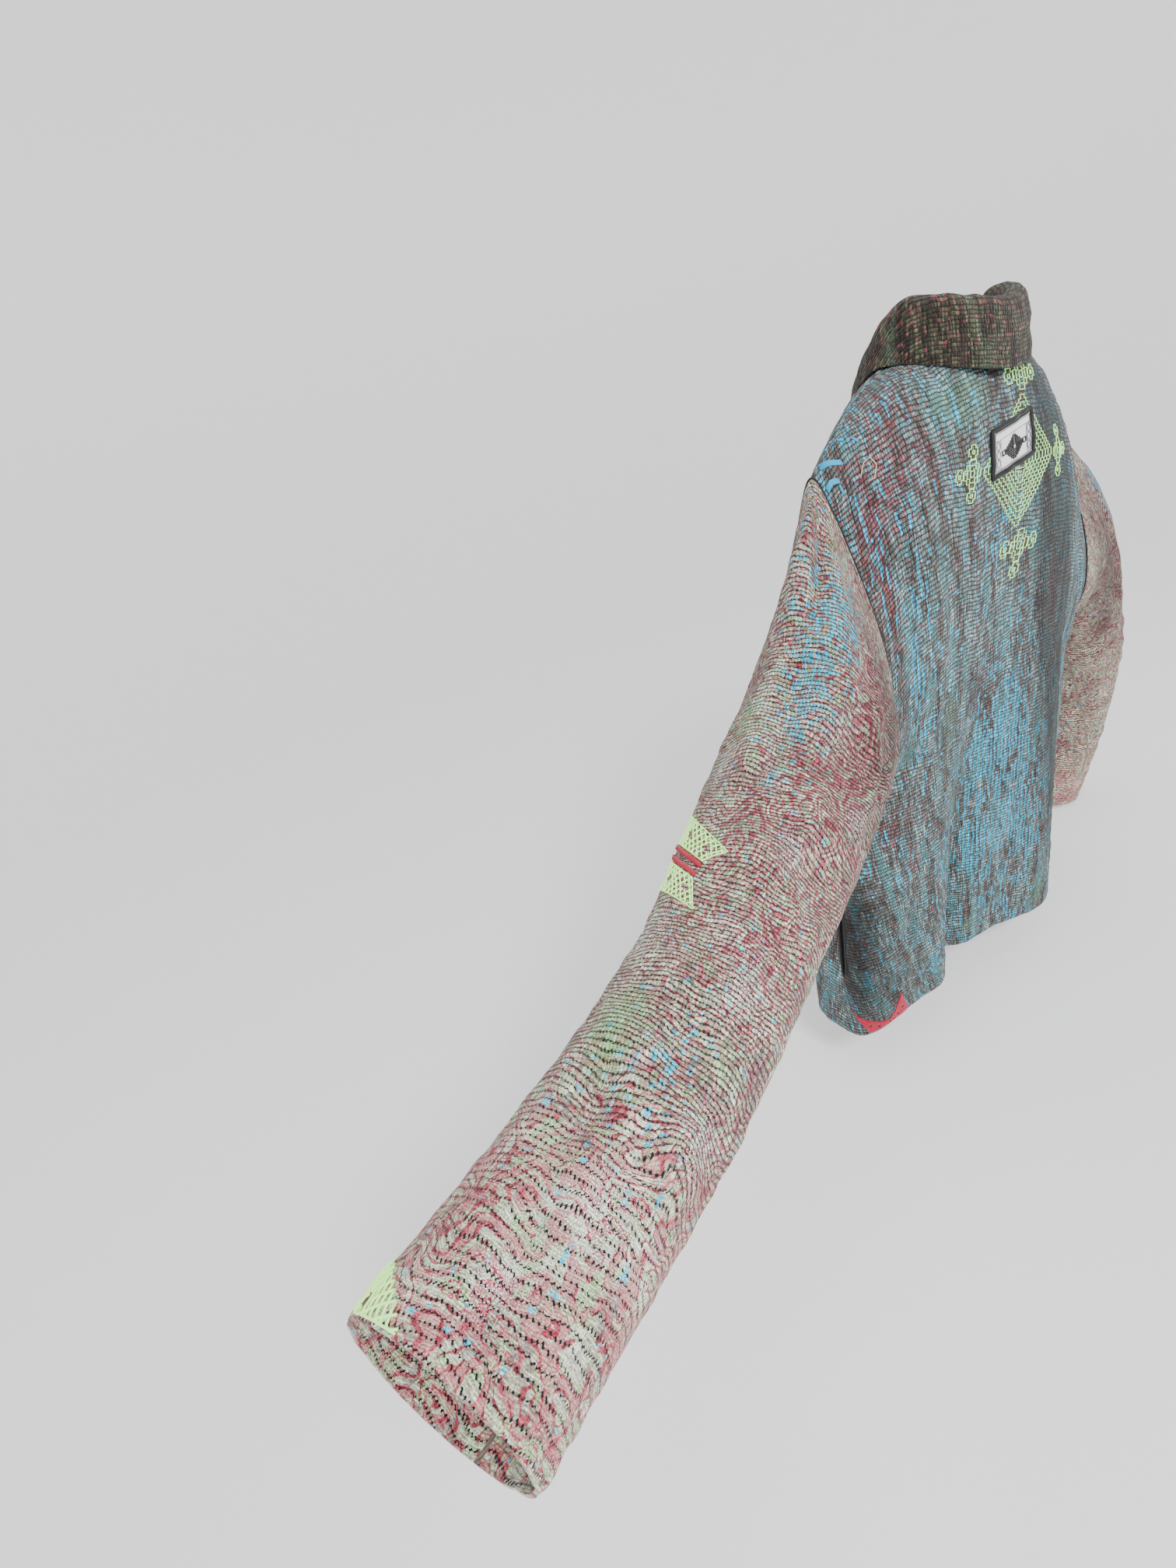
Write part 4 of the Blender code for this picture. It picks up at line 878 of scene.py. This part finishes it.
# Each side's sign, its front, the back's column at its seam, and its sleeve
bothSides = ((1.0, "front_left", 0, "sleeve_left"), (-1.0, "front_right", -1, "sleeve_right"))
for side, front, column, node in bothSides:
    backPoints, backNormals = backSheet["points"], backSheet["normals"]
    frontPoints, frontNormals = panels[front]["points"], panels[front]["normals"]
    below = slice(0, rowsBelow)
    lean = unit(backNormals[below, column] + frontNormals[below, 0])
    seam = bodySurface(np.linspace(0.0, 1.0, rowsBelow + 1), np.array([-1.0 * side]), True)[below, 0]
    run = unit(np.gradient(seam, axis=0))
    aside = unit(np.cross(run, lean))
    aside = np.where(aside[:, 1:2] < 0, -aside, aside) * (seamGap / 2.0 + opening[below])[:, None]
    backPoints[below, column], frontPoints[below, 0] = seam + aside, seam - aside
    backNormals[below, column] = frontNormals[below, 0] = lean
    tube = tubes[node]
    steps = np.arange(armSteps, -1, -1)
    leans = np.zeros_like(tube["normals"][0])
    leans[steps] += backNormals[rowsBelow:, column]
    leans[(-steps) % (2 * armSteps)] += frontNormals[rowsBelow:, 0]
    leans = unit(unit(leans) + tube["normals"][0])
    leans[[0, armSteps], 1] = 0.0
    leans = unit(leans)
    hole = armRing(side, ringAngles)
    run = unit(np.roll(hole, -1, axis=0) - np.roll(hole, 1, axis=0))
    away = unit(np.cross(run, leans))
    away = np.where(away[:, :1] * side < 0, -away, away) * armGap / 2.0
    tube["points"][0] = hole + away
    tube["normals"][0] = leans
    for sheet, edge, at in ((backSheet, column, steps), (panels[front], 0, (-steps) % (2 * armSteps))):
        sheet["points"][rowsBelow:, edge] = (hole - away)[at]
        sheet["normals"][rowsBelow:, edge] = leans[at]
    for corner in (rowsBelow, -1):
        backPoints[corner, column, 1] += seamGap / 2.0
        frontPoints[corner, 0, 1] -= seamGap / 2.0


def dressed(name, outer, inner, uv, flow, material, tint=None, ring=False):
    # a wall of cloth in the place of the solid of that name
    piece = clothWall("dressed_" + name, outer, inner, uv, flow, tint, ring)
    piece.data.materials.append(material)
    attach(piece, "root")
    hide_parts(name)


for name, sheet in panels.items():
    dressed(name, sheet["points"], sheet["points"] - sheet["normals"] * cut["wall"],
            stacked(sheet["u"], sheet["v"]), sheet["flow"], bodyCotton, sheet["tint"])
for name, tube in tubes.items():
    dressed(name, tube["points"], tube["points"] - tube["normals"] * cut["wall"],
            stacked(tube["uvU"], tube["uvV"]), tube["flow"], sleeveCotton, tube["tint"], ring=True)
print("stage: body and sleeves dressed")

# Collar: stand, half round and fall, carried along the neck seam
collar = {
    "wall": 0.0042, "roll": 0.0080, "lift": 0.0009, "lean": 0.004, "flare": 0.003,
    "share": [0.0, 0.25, 0.42, 0.5, 0.58, 0.7, 0.85, 1.0],
    "stand": [0.038, 0.037, 0.030, 0.021, 0.015, 0.013, 0.014, 0.016],
    "fall": [0.0425, 0.0405, 0.0330, 0.0240, 0.0165, 0.0110, 0.0110, 0.0160],
    "stations": 200, "steps": 24,
}


def collarSurface():
    frontX = cut["frontGap"][1][-1]
    end = 1.0 - np.arcsin(frontX / cut["neckX"]) / np.pi
    share = np.linspace(-end, end, collar["stations"] + 1)
    side = np.where(share < 0, 1.0, -1.0)
    turn = np.abs(share) * np.pi
    behind = turn <= np.pi / 2.0
    x = np.where(behind, cut["neckX"] * np.sin(turn), np.maximum(cut["neckX"] * np.sin(turn), frontX))
    backZ, backY = topLine(x, True)
    frontZ, frontY = topLine(x, False)
    seam = np.stack([side * x, np.where(behind, backY, frontY), np.where(behind, backZ, frontZ)], axis=1)
    run = np.gradient(seam, axis=0)
    away = unit(np.stack([run[:, 1], -run[:, 0], np.zeros(len(run))], axis=1))
    away = np.where(np.sum(away * seam, axis=1, keepdims=True) < 0, -away, away)
    stand, fall = (through((collar["share"], collar[k]), np.abs(share))[:, None] for k in ("stand", "fall"))
    n = collar["steps"] // 3
    rise = np.linspace(0.0, 1.0, n + 1)[None]
    arc = np.linspace(np.pi, 0.0, n + 2)[None, 1:-1]
    lean, roll, flare = collar["lean"], collar["roll"], collar["flare"]
    zero = np.zeros_like(stand)
    across = np.concatenate([-lean * rise + zero, -lean + roll + roll * np.cos(arc) + zero,
                             -lean + 2.0 * roll + flare * rise + zero], axis=1)
    up = np.concatenate([stand * rise, stand + roll * np.sin(arc), stand - fall * rise], axis=1)
    profile = np.stack([across, up], axis=-1)
    heading = unit(np.gradient(profile, axis=1))
    square = np.stack([-heading[..., 1], heading[..., 0]], axis=-1)
    base = seam + np.array([0.0, 0.0, collar["lift"]])
    lift = np.array([0.0, 0.0, 1.0])
    skin = base[:, None] + across[..., None] * away[:, None] + up[..., None] * lift
    offset = square[..., :1] * away[:, None] + square[..., 1:] * lift
    u = runLength(skin)
    v = np.repeat(runLength(seam[:, None], axis=0), skin.shape[1], axis=1)
    ends = smooth(u / 0.01) * smooth((u[:, -1:] - u + 0.004) / 0.01)
    soft = pulled("collar", u, v, 31) * ends
    over = skin + offset * (collar["wall"] + soft)[..., None]
    return skin, over, u, v


skin, over, collarU, collarV = collarSurface()
collarUv = stacked(collarV, collarU)
collarSpots = {"blue": [(240, 60, 50, 30, 0.3)], "red": [(200, 50, 100, 50, 0.4)]}
dressed("collar", over, skin, collarUv, collarUv, collarShadedCotton,
        painted(collarV, collarU, collarSpots))
print("stage: collar dressed")

# Patch: a small twill rectangle on the back, its middle and size along the cloth and in height
patch = {"along": 0.0134, "z": -0.0842, "wide": 0.073, "high": 0.0408, "slant": 7.0, "lean": 15.0,
         "clear": 0.0004, "wall": 0.0016, "columns": 60, "rows": 36}
level = runLength(backSheet["points"][..., :2])
middle = int(np.argmin(np.abs(backSheet["points"][0, :, 0])))
heightSheet = dict(backSheet, v=backSheet["points"][..., 2], u=level[:, middle:middle + 1] - level)
left, rise = np.meshgrid(np.linspace(0.5, -0.5, patch["columns"] + 1) * patch["wide"],
                         np.linspace(-0.5, 0.5, patch["rows"] + 1) * patch["high"])
slant, lean = np.radians(patch["slant"]), np.radians(patch["lean"])
alongPatch = patch["along"] + left * np.cos(slant) - rise * np.sin(lean)
zPatch = patch["z"] + rise * np.cos(lean) - left * np.sin(slant)
base, patchOut = onCloth(heightSheet, alongPatch, zPatch, np.full(left.shape, patch["clear"]))
patchSheet = {"points": base + patchOut * patch["wall"], "normals": patchOut,
              "u": left + patch["wide"] / 2, "v": rise + patch["high"] / 2}
patchUv = stacked(patchSheet["u"], patchSheet["v"])
patchTwill = newMaterial("patchTwill", {"Base Color": hexToLinear("#EFEEF2"), "Roughness": 0.85,
                                        "Sheen Weight": 0.1})
dressed("patch", patchSheet["points"], base, patchUv, patchUv, patchTwill)

# Pocket bags: thin near-black cotton behind each slit, following the front's own cloth; the near-black is
# painted shade seen through the slits
pocket = {"depth": 0.135, "topZ": -0.425, "footZ": -0.605, "clear": 0.0004, "wall": 0.002,
          "beyond": 3}   # the bag goes on under the back for this many columns
pocketShadeCotton = newMaterial("pocketShadeCotton", {"Base Color": hexToLinear("#1B1A1E"), "Roughness": 0.95,
                                            "Sheen Weight": 0.1})
pocketBags = {}
for side in ("left", "right"):
    sheet = panels["front_" + side]
    z = sheet["points"][:, 0, 2]
    rows = np.where((z >= pocket["footZ"]) & (z <= pocket["topZ"]))[0]
    across = np.linalg.norm(sheet["points"][rows[0]] - sheet["points"][rows[0], 0], axis=1)
    last = int(np.argmin(np.abs(across - pocket["depth"])))
    part = (slice(rows[0], rows[-1] + 1), slice(1, last + 1))
    beyond = pocket["beyond"]
    behind = (part[0], slice(beyond, 0, -1) if side == "left" else slice(-beyond - 1, -1))
    outer = np.concatenate([backSheet["points"][behind], sheet["points"][part]], axis=1)
    square = np.concatenate([backSheet["normals"][behind], sheet["normals"][part]], axis=1)
    outer = outer - square * (cut["wall"] + pocket["clear"])
    pocketUv = stacked(runLength(outer), np.repeat(sheet["v"][part][:, :1], outer.shape[1], axis=1))
    dressed("pocket_" + side, outer, outer - square * pocket["wall"], pocketUv, pocketUv, pocketShadeCotton)
    pocketBags["pocket_" + side] = outer
print("stage: patch and pockets made")


# Stitched ornaments. Each thread is cotton floss laid on the cloth: bright, with a soft shine
def floss(name, code, glow=0.0):
    # a little light of its own stands in for the shine of mercerised yarn
    colour = hexToLinear(code)
    return newMaterial(name, {"Base Color": colour, "Roughness": 0.55, "Specular IOR Level": 0.35,
                              "Sheen Weight": 0.15, "Emission Color": colour, "Emission Strength": glow})


paleFloss, redFloss = floss("paleGreenFloss", "#C4FF96", 0.8), floss("hotRedFloss", "#BE0036")
blueFloss, blackFloss = floss("skyBlueFloss", "#00A6D4", 0.12), floss("blackFloss", "#030304")
greyFloss, creamFloss = floss("greyFloss", "#5F6066"), floss("creamFloss", "#D9CBA0")


def laid(name, lines, radius, material, sides=4):
    piece = threads(name, lines, radius, sides)
    piece.data.materials.append(material)
    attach(piece, "root")


def sewn(name, sheet, paths, radius, lift, material, sides=4):
    # threads along (u, v) paths of a sheet, all in one piece
    flat = np.concatenate([np.asarray(p, float) for p in paths])
    points, normals = onCloth(sheet, flat[:, 0], flat[:, 1], np.full(len(flat), lift))
    ends = np.cumsum([len(p) for p in paths])[:-1]
    laid(name, list(zip(np.split(points, ends), np.split(normals, ends))), radius, material, sides)


def stretches(inside, step):
    # the places of each unbroken stretch inside, thinned out but with both its ends
    edges = np.flatnonzero(np.diff(np.concatenate([[False], inside, [False]]).astype(int)))
    return [np.unique(np.r_[np.arange(first, last, step), last - 1])
            for first, last in zip(edges[::2], edges[1::2]) if last - first > 2]


def stepped(half, high, steps):
    # diamond outline as a staircase: from the top tip each step goes aside, then down
    k = np.repeat(np.arange(steps + 1), 2) / steps
    quarter = np.stack([half * k[1:], high * (1.0 - k[:-1])], axis=1)
    return np.concatenate([quarter[:-1], (quarter * [1, -1])[::-1][:-1],
                           (quarter * [-1, -1])[:-1], (quarter * [-1, 1])[::-1]])


# On the back: diamonds inside each other, and a rosette with small lobes beyond each tip
ornament = {
    "middle": (0.003, -0.101), "aside": (0.059, 0.0025), "upward": (-0.0205, 0.052), "rings": 9,
    "radius": 0.00043, "lift": 0.0008, "lobeAt": 1.55,
    "rosettes": [(-0.0260, -0.033, 0.0150, 0.0130, ((1, 0), (-1, 0))),
                 (0.0780, -0.097, 0.0105, 0.0115, ((0, 1), (1, 0), (0, -1))),
                 (0.0190, -0.172, 0.0140, 0.0145, ((1, 0), (-1, 0), (0, -1))),
                 (-0.0735, -0.106, 0.0105, 0.0115, ((0, 1), (-1, 0), (0, -1)))],
}
aside, upward = np.array(ornament["aside"]), np.array(ornament["upward"])
paths = []
for ring in range(ornament["rings"], 0, -1):
    share = ring / ornament["rings"]
    loop = stepped(share, share, 2 * ring - 1)
    paths.append(np.array(ornament["middle"]) + loop[:, :1] * aside + loop[:, 1:] * upward)
asideTip, upTip = unit(aside), unit(upward)
for x, z, half, high, lobes in ornament["rosettes"]:
    marks = [(0.0, 0.0, 1.0, 3), (0.0, 0.0, 0.60, 2), (0.0, 0.0, 0.22, 1)]
    for lobe in lobes:
        across, up = (ornament["lobeAt"] * k for k in lobe)
        marks += [(across, up, 0.50, 2), (across, up, 0.12, 1)]
    for across, up, size, steps in marks:
        loop = stepped(size * half, size * high, steps) + np.array([across * half, up * high])
        paths.append(np.array([x, z]) + loop[:, :1] * asideTip + loop[:, 1:] * upTip)
sewn("backOrnament", heightSheet, paths, ornament["radius"], ornament["lift"], paleFloss)

# On the left sleeve: a net of crossing threads shaped as a bow, with two red bars at its waist
turned = (np.arange(2 * armSteps) + armSteps + 1) % (2 * armSteps)
sleeveSheet = {k: tubes["sleeve_left"][k][:, turned] for k in ("points", "normals", "u", "v")}
bow = {"middle": np.array([-0.048, 0.2815]), "bar": np.array([0.038, 0.0215]),
       "across": np.array([-0.004, 0.030]), "pitch": 0.0032,
       "waist": 0.24, "corner": 0.82, "crown": 0.98, "dome": 0.13, "tip": 1.35,
       "halfLine": 0.09, "linePoints": 151, "lines": 24, "radius": 0.00054, "lift": 0.0007,
       "eyelets": ((-0.45, 0.52), (0.35, 0.62), (0.95, 0.55), (-1.0, 0.6)), "eyelet": 0.0036,
       "cuffMiddle": np.array([-0.016, 0.620]), "cuffRadius": 0.0006, "cuffEnd": 0.625, "cuffSide": 0.004,
       "barPlace": 0.13, "barPitch": 0.024, "barRadius": 0.00085, "barLift": 0.0010}


def bowNet(middle, halves):
    # diagonal threads both ways, kept inside each flaring half and out of its open eyelets
    bar, across = bow["bar"], bow["across"]
    waist, corner, crown, tip = (bow[k] for k in ("waist", "corner", "crown", "tip"))
    sizeA, sizeB = np.linalg.norm(bar), np.linalg.norm(across)
    runs = []
    t = np.linspace(-bow["halfLine"], bow["halfLine"], bow["linePoints"])
    for direction in (1.0, -1.0):
        for k in np.arange(-bow["lines"], bow["lines"] + 1) * bow["pitch"] * 2.0:
            x, y = t / np.sqrt(2.0) + k / 2.0, direction * (t / np.sqrt(2.0) - k / 2.0)
            a, b = x / sizeA, y / sizeB
            inside = np.zeros(t.shape, bool)
            for half in halves:
                far = b * half
                inside |= ((far > waist) & (far < crown - bow["dome"] * np.abs(a))
                           & (np.abs(a) < 1.0 + (tip - 1.0) * (far - 0.2) / 0.6))
                for eyeA, eyeB in bow["eyelets"]:
                    inside &= ~(np.abs(x - eyeA * sizeA) + np.abs(y - half * eyeB * sizeB) < bow["eyelet"])
            runs += [middle + a[keep, None] * bar + b[keep, None] * across for keep in stretches(inside, 3)]
    rim = np.array([(-1.0, waist), (-tip, corner), (0.0, crown), (tip, corner), (1.0, waist), (-1.0, waist)])
    share = np.linspace(0, len(rim) - 1, 61)
    a, b = (np.interp(share, np.arange(len(rim)), rim[:, k])[:, None] for k in (0, 1))
    return runs + [middle + a * bar + half * b * across for half in halves]


sewn("elbowNet", sleeveSheet, bowNet(bow["middle"], (1.0, -1.0)), bow["radius"], bow["lift"], paleFloss)
cuffPaths = [p for p in bowNet(bow["cuffMiddle"], (-1.0,))
             if p[:, 1].max() < bow["cuffEnd"] and p[:, 0].max() < bow["cuffSide"]]
sewn("cuffNet", sleeveSheet, cuffPaths, bow["cuffRadius"], bow["lift"], paleFloss)
slanted = 0.0013 * bow["across"] / 0.030 + 0.0009 * bow["bar"] / 0.044   # half of one slanted stitch
paths = []
for place in (-bow["barPlace"], bow["barPlace"]):
    for a in np.arange(-1.0, 1.0, bow["barPitch"]):
        middle = bow["middle"] + a * bow["bar"] + place * bow["across"]
        paths.append(np.stack([middle - slanted, middle, middle + slanted]))
sewn("elbowBars", sleeveSheet, paths, bow["barRadius"], bow["barLift"], redFloss, 6)

# At the hem: two horns of red satin stitch with open eyelets, and bare cloth between them
horns = {"top": ([0.2526, 0.2565, 0.262, 0.272, 0.284, 0.297, 0.310, 0.3211],
                 [0.0010, 0.0356, 0.026, 0.0145, 0.0089, 0.0134, 0.0225, 0.0314]),
         "foot": ([0.2526, 0.3115, 0.3211], [0.0012, 0.0012, 0.0305]), "apart": 0.0008,
         "eyelets": [(0.2695, 0.0075), (0.2605, 0.0125), (0.299, 0.0075), (0.3085, 0.0125), (0.2775, 0.0045)],
         "eyelet": 0.0019, "bare": (0.2838, 0.0007), "span": (0.2530, 0.3208), "radius": 0.00050,
         "lift": 0.0005}
paths = []
for place in np.arange(*horns["span"], horns["apart"]):
    if abs(place - horns["bare"][0]) < horns["bare"][1]:
        continue
    steps = np.arange(np.interp(place, *horns["foot"]), np.interp(place, *horns["top"]), horns["apart"])
    inside = np.ones(steps.shape, bool)
    for eyeU, eyeV in horns["eyelets"]:
        inside &= np.abs(place - eyeU) + np.abs(steps - eyeV) > horns["eyelet"]
    paths += [stacked(np.full(len(keep), place), steps[keep]) for keep in stretches(inside, 4)]
sewn("hemHorns", backSheet, paths, horns["radius"], horns["lift"], redFloss)

# Mended shoulder end: two bold strokes of parallel threads and a few single ones
mend = {"strokes": [((0.2335, 0.6385), (0.2215, 0.6345), (0.2085, 0.6255)),
                    ((0.2310, 0.6205), (0.2250, 0.6225), (0.2170, 0.6180))],
        "singles": [[(0.2170, 0.6130), (0.2155, 0.6050)], [(0.198, 0.637), (0.204, 0.6405)],
                    [(0.186, 0.628), (0.190, 0.634)], [(0.226, 0.594), (0.231, 0.5955)]],
        "threads": 3, "apart": (0.0006, 0.0016), "radius": 0.0010, "lift": 0.0006}
paths = [[(u0 - k * mend["apart"][0], v0 - k * mend["apart"][1]) for u0, v0 in stroke]
         for stroke in mend["strokes"] for k in range(mend["threads"])]
sewn("shoulderMend", backSheet, paths + mend["singles"], mend["radius"], mend["lift"], blueFloss, 6)

# A few frayed threads on the back, the armholes' seams, and black tubes along the edges of the slits that
# paint the shade of their openings
paths = [[(0.176, 0.238), (0.1765, 0.231), (0.1775, 0.222)],
         [(0.184, 0.186), (0.1845, 0.180), (0.184, 0.174)],
         [(0.096, 0.206), (0.101, 0.200), (0.107, 0.203), (0.112, 0.198)],
         [(0.196, 0.603), (0.189, 0.611), (0.181, 0.612), (0.178, 0.604), (0.183, 0.596), (0.190, 0.597)]]
sewn("frayedThreads", backSheet, paths, 0.0005, 0.0009, creamFloss)
seamLines, slitShadeLines = [], []
rows = np.nonzero((mouth > 0.02) & (mouth < 0.98))[0]
for side, front, column, node in bothSides:
    leans = closeRing(tubes[node]["normals"][:1])[0]
    ring = armRing(side, np.linspace(0.0, 2.0 * np.pi, 2 * armSteps + 1))
    seamLines.append((ring + leans * 0.0004, leans))
    slitShadeLines += [(sheet["points"][rows, at], sheet["normals"][rows, at])
                  for sheet, at in ((backSheet, column), (panels[front], 0))]
laid("armholeSeam", seamLines, 0.0011, blackFloss, 6)
# the slits' edges: black tubes as painted shade of the openings
laid("slitShadeEdges", slitShadeLines, 0.0015, blackFloss, 6)

# Patch: overlocked black rim, a thin grey frame with hatching, a bare band and a small diamond
wide, high = patch["wide"], patch["high"]
rim = {"radius": 0.0021, "teeth": 0.0019, "inset": 0.0012, "tooth": 0.0028, "toothRadius": 0.0006}
frameLines = {"outer": 0.0046, "inner": 0.0056, "bandHigh": 0.0115, "side": 0.0135, "hatch": 0.0095,
              "hatchRows": (0.0110, 0.0180, 0.0250), "radius": 0.00028}
diamond = {"half": 0.0150, "high": 0.0095, "shares": (1.0, 0.84, 0.68, 0.52, 0.36, 0.20), "aside": 0.0185,
           "radius": 0.00062}


def boxPath(inset, apart=0.003):
    # round a rectangle inside the patch's edge, with points at even steps
    right, top = wide - inset, high - inset
    corners = np.array([(inset, inset), (right, inset), (right, top), (inset, top), (inset, inset)])
    length = runLength(corners, axis=0)
    steps = np.linspace(0.0, length[-1], int(length[-1] / apart) + 1)
    return stacked(*(np.interp(steps, length, corners[:, k]) for k in (0, 1)))


sewn("patchRim", patchSheet, [boxPath(rim["inset"], 0.0015)], rim["radius"], 0.0002, blackFloss, 8)
middles = boxPath(rim["inset"], rim["teeth"])
run = unit(np.gradient(middles, axis=0))
teeth = stacked(-run[:, 1], run[:, 0]) * rim["tooth"]
paths = [[middle - tooth * 0.2, middle + tooth] for middle, tooth in zip(middles, teeth)]
sewn("patchRimStitches", patchSheet, paths, rim["toothRadius"], 0.0009, blackFloss)
inner, band, side = frameLines["inner"], high - frameLines["bandHigh"], frameLines["side"]
paths = [boxPath(frameLines["outer"]), boxPath(inner),
         [(inner, band), (wide / 2, band), (wide - inner, band)],
         [(side, inner), (side, band)], [(wide - side, inner), (wide - side, band)]]
for x in (frameLines["hatch"], wide - frameLines["hatch"]):
    paths += [stepped(0.0022, 0.0040, 2) + np.array([x, y]) for y in frameLines["hatchRows"]]
sewn("patchFrame", patchSheet, paths, frameLines["radius"], 0.0004, greyFloss)
centre = np.array([wide / 2, (band + inner) / 2])
paths = [stepped(diamond["half"] * s, diamond["high"] * s, max(int(6 * s), 1)) + centre
         for s in diamond["shares"]]
paths += [stepped(0.0028, 0.0018, 1) + centre + np.array([k, 0.0])
          for k in (diamond["aside"], -diamond["aside"])]
sewn("patchDiamond", patchSheet, paths, diamond["radius"], 0.0005, blackFloss)
print("stage: stitched ornaments laid")


def flatCut(points, ring=False):
    # closes a tube's points into a ring; nothing is worked out from them
    points = closeRing(points) if ring else points


for name, sheet in panels.items():
    flatCut(sheet["points"])
for name, tube in tubes.items():
    flatCut(tube["points"], ring=True)
flatCut(over)
flatCut(patchSheet["points"])
for name, bag in pocketBags.items():
    flatCut(bag)

# Floor, light and camera
studio = {"floorZ": -0.716, "hex": "#E6E6E6", "glow": 0.42, "rings": (0.4, 1.2, 2.6), "wall": 3.4, "top": 8.0,
          "sides": 96, "sky": "#DCE2EA", "skyLight": 0.10}
turn = np.linspace(0.0, 2.0 * np.pi, studio["sides"] + 1)[:-1]
bend = np.linspace(0.0, np.pi / 2.0, 13)[1:]
reach = np.concatenate([studio["rings"], studio["rings"][-1] + studio["wall"] / 2 * np.sin(bend)])
rise = np.concatenate([[0.0, 0.0, 0.0], studio["wall"] / 2 * (1.0 - np.cos(bend))])
reach, rise = np.append(reach, reach[-1]), np.append(rise, studio["top"])
rings = np.stack([reach[:, None] * np.cos(turn), reach[:, None] * np.sin(turn),
                  np.broadcast_to(rise[:, None] + studio["floorZ"], (len(reach), len(turn)))], axis=-1)
floorMesh = bpy.data.meshes.new("floor")
floorMesh.from_pydata(rings.reshape(-1, 3).tolist(), [],
                      tubeQuads(len(reach), len(turn)).tolist() + [list(range(len(turn)))])
floorMesh.shade_smooth()
# matt painted studio floor that runs up into its wall; a faint glow evens out the corners
floorMesh.materials.append(newMaterial("mattFloor", {
    "Base Color": hexToLinear(studio["hex"]), "Roughness": 0.95, "Specular IOR Level": 0.1,
    "Emission Color": hexToLinear("#FFFFFF"), "Emission Strength": studio["glow"]}))
floor = addObject("floor", floorMesh)

world = bpy.data.worlds.new("studio")
world.use_nodes = True
world.node_tree.nodes["Background"].inputs[0].default_value = hexToLinear(studio["sky"])
world.node_tree.nodes["Background"].inputs[1].default_value = studio["skyLight"]
bpy.context.scene.world = world


def placed(name, data, right, up, away, place):
    # a lamp or camera that looks against its own "away"
    thing = addObject(name, data)
    turned = np.stack([right, up, away], axis=1)
    thing.matrix_world = Matrix([[*row, p] for row, p in zip(turned, place)] + [[0, 0, 0, 1]])
    return thing


def softLight(name, place, target, size, watts):
    light = bpy.data.lights.new(name, "AREA")
    light.shape, light.size, light.energy = "SQUARE", size, watts
    away = unit(np.array(place) - np.array(target))
    right = unit(np.cross([0.0, 0.0, 1.0], away))
    placed(name, light, right, np.cross(away, right), away, place)


softLight("keyLight", (0.60, 1.50, 1.00), (0.3, 0.05, -0.35), 0.45, 34.0)
softLight("topLight", (0.5, 0.4, 3.2), (0.3, 0.1, -0.3), 1.8, 20.0)

# The camera fitted to the photo: angles in degrees, the rest in the photo's pixels
view = {"place": (0.719, 0.427, 0.0), "yaw": 37.629, "pitch": -29.87, "roll": -13.615,
        "focal": 909.0, "middle": (907.5, 1061.0), "frame": (1512, 2016), "sensor": 36.0}
yaw, pitch, roll = (np.radians(view[k]) for k in ("yaw", "pitch", "roll"))
look = np.array([-np.cos(pitch) * np.sin(yaw), -np.cos(pitch) * np.cos(yaw), np.sin(pitch)])
right = unit(np.cross(look, [0.0, 0.0, 1.0]))
up = np.cross(right, look)
right, up = right * np.cos(roll) + up * np.sin(roll), -right * np.sin(roll) + up * np.cos(roll)
lens = bpy.data.cameras.new("photoCamera")
lens.sensor_fit, lens.sensor_height = "VERTICAL", view["sensor"]
lens.lens = view["focal"] / view["frame"][1] * view["sensor"]
lens.shift_x = (view["frame"][0] / 2 - view["middle"][0]) / view["frame"][1]
lens.shift_y = (view["middle"][1] - view["frame"][1] / 2) / view["frame"][1]
lens.clip_start = 0.01
bpy.context.scene.camera = placed("photoCamera", lens, right, up, -look, view["place"])
print("stage: floor, light and camera set")
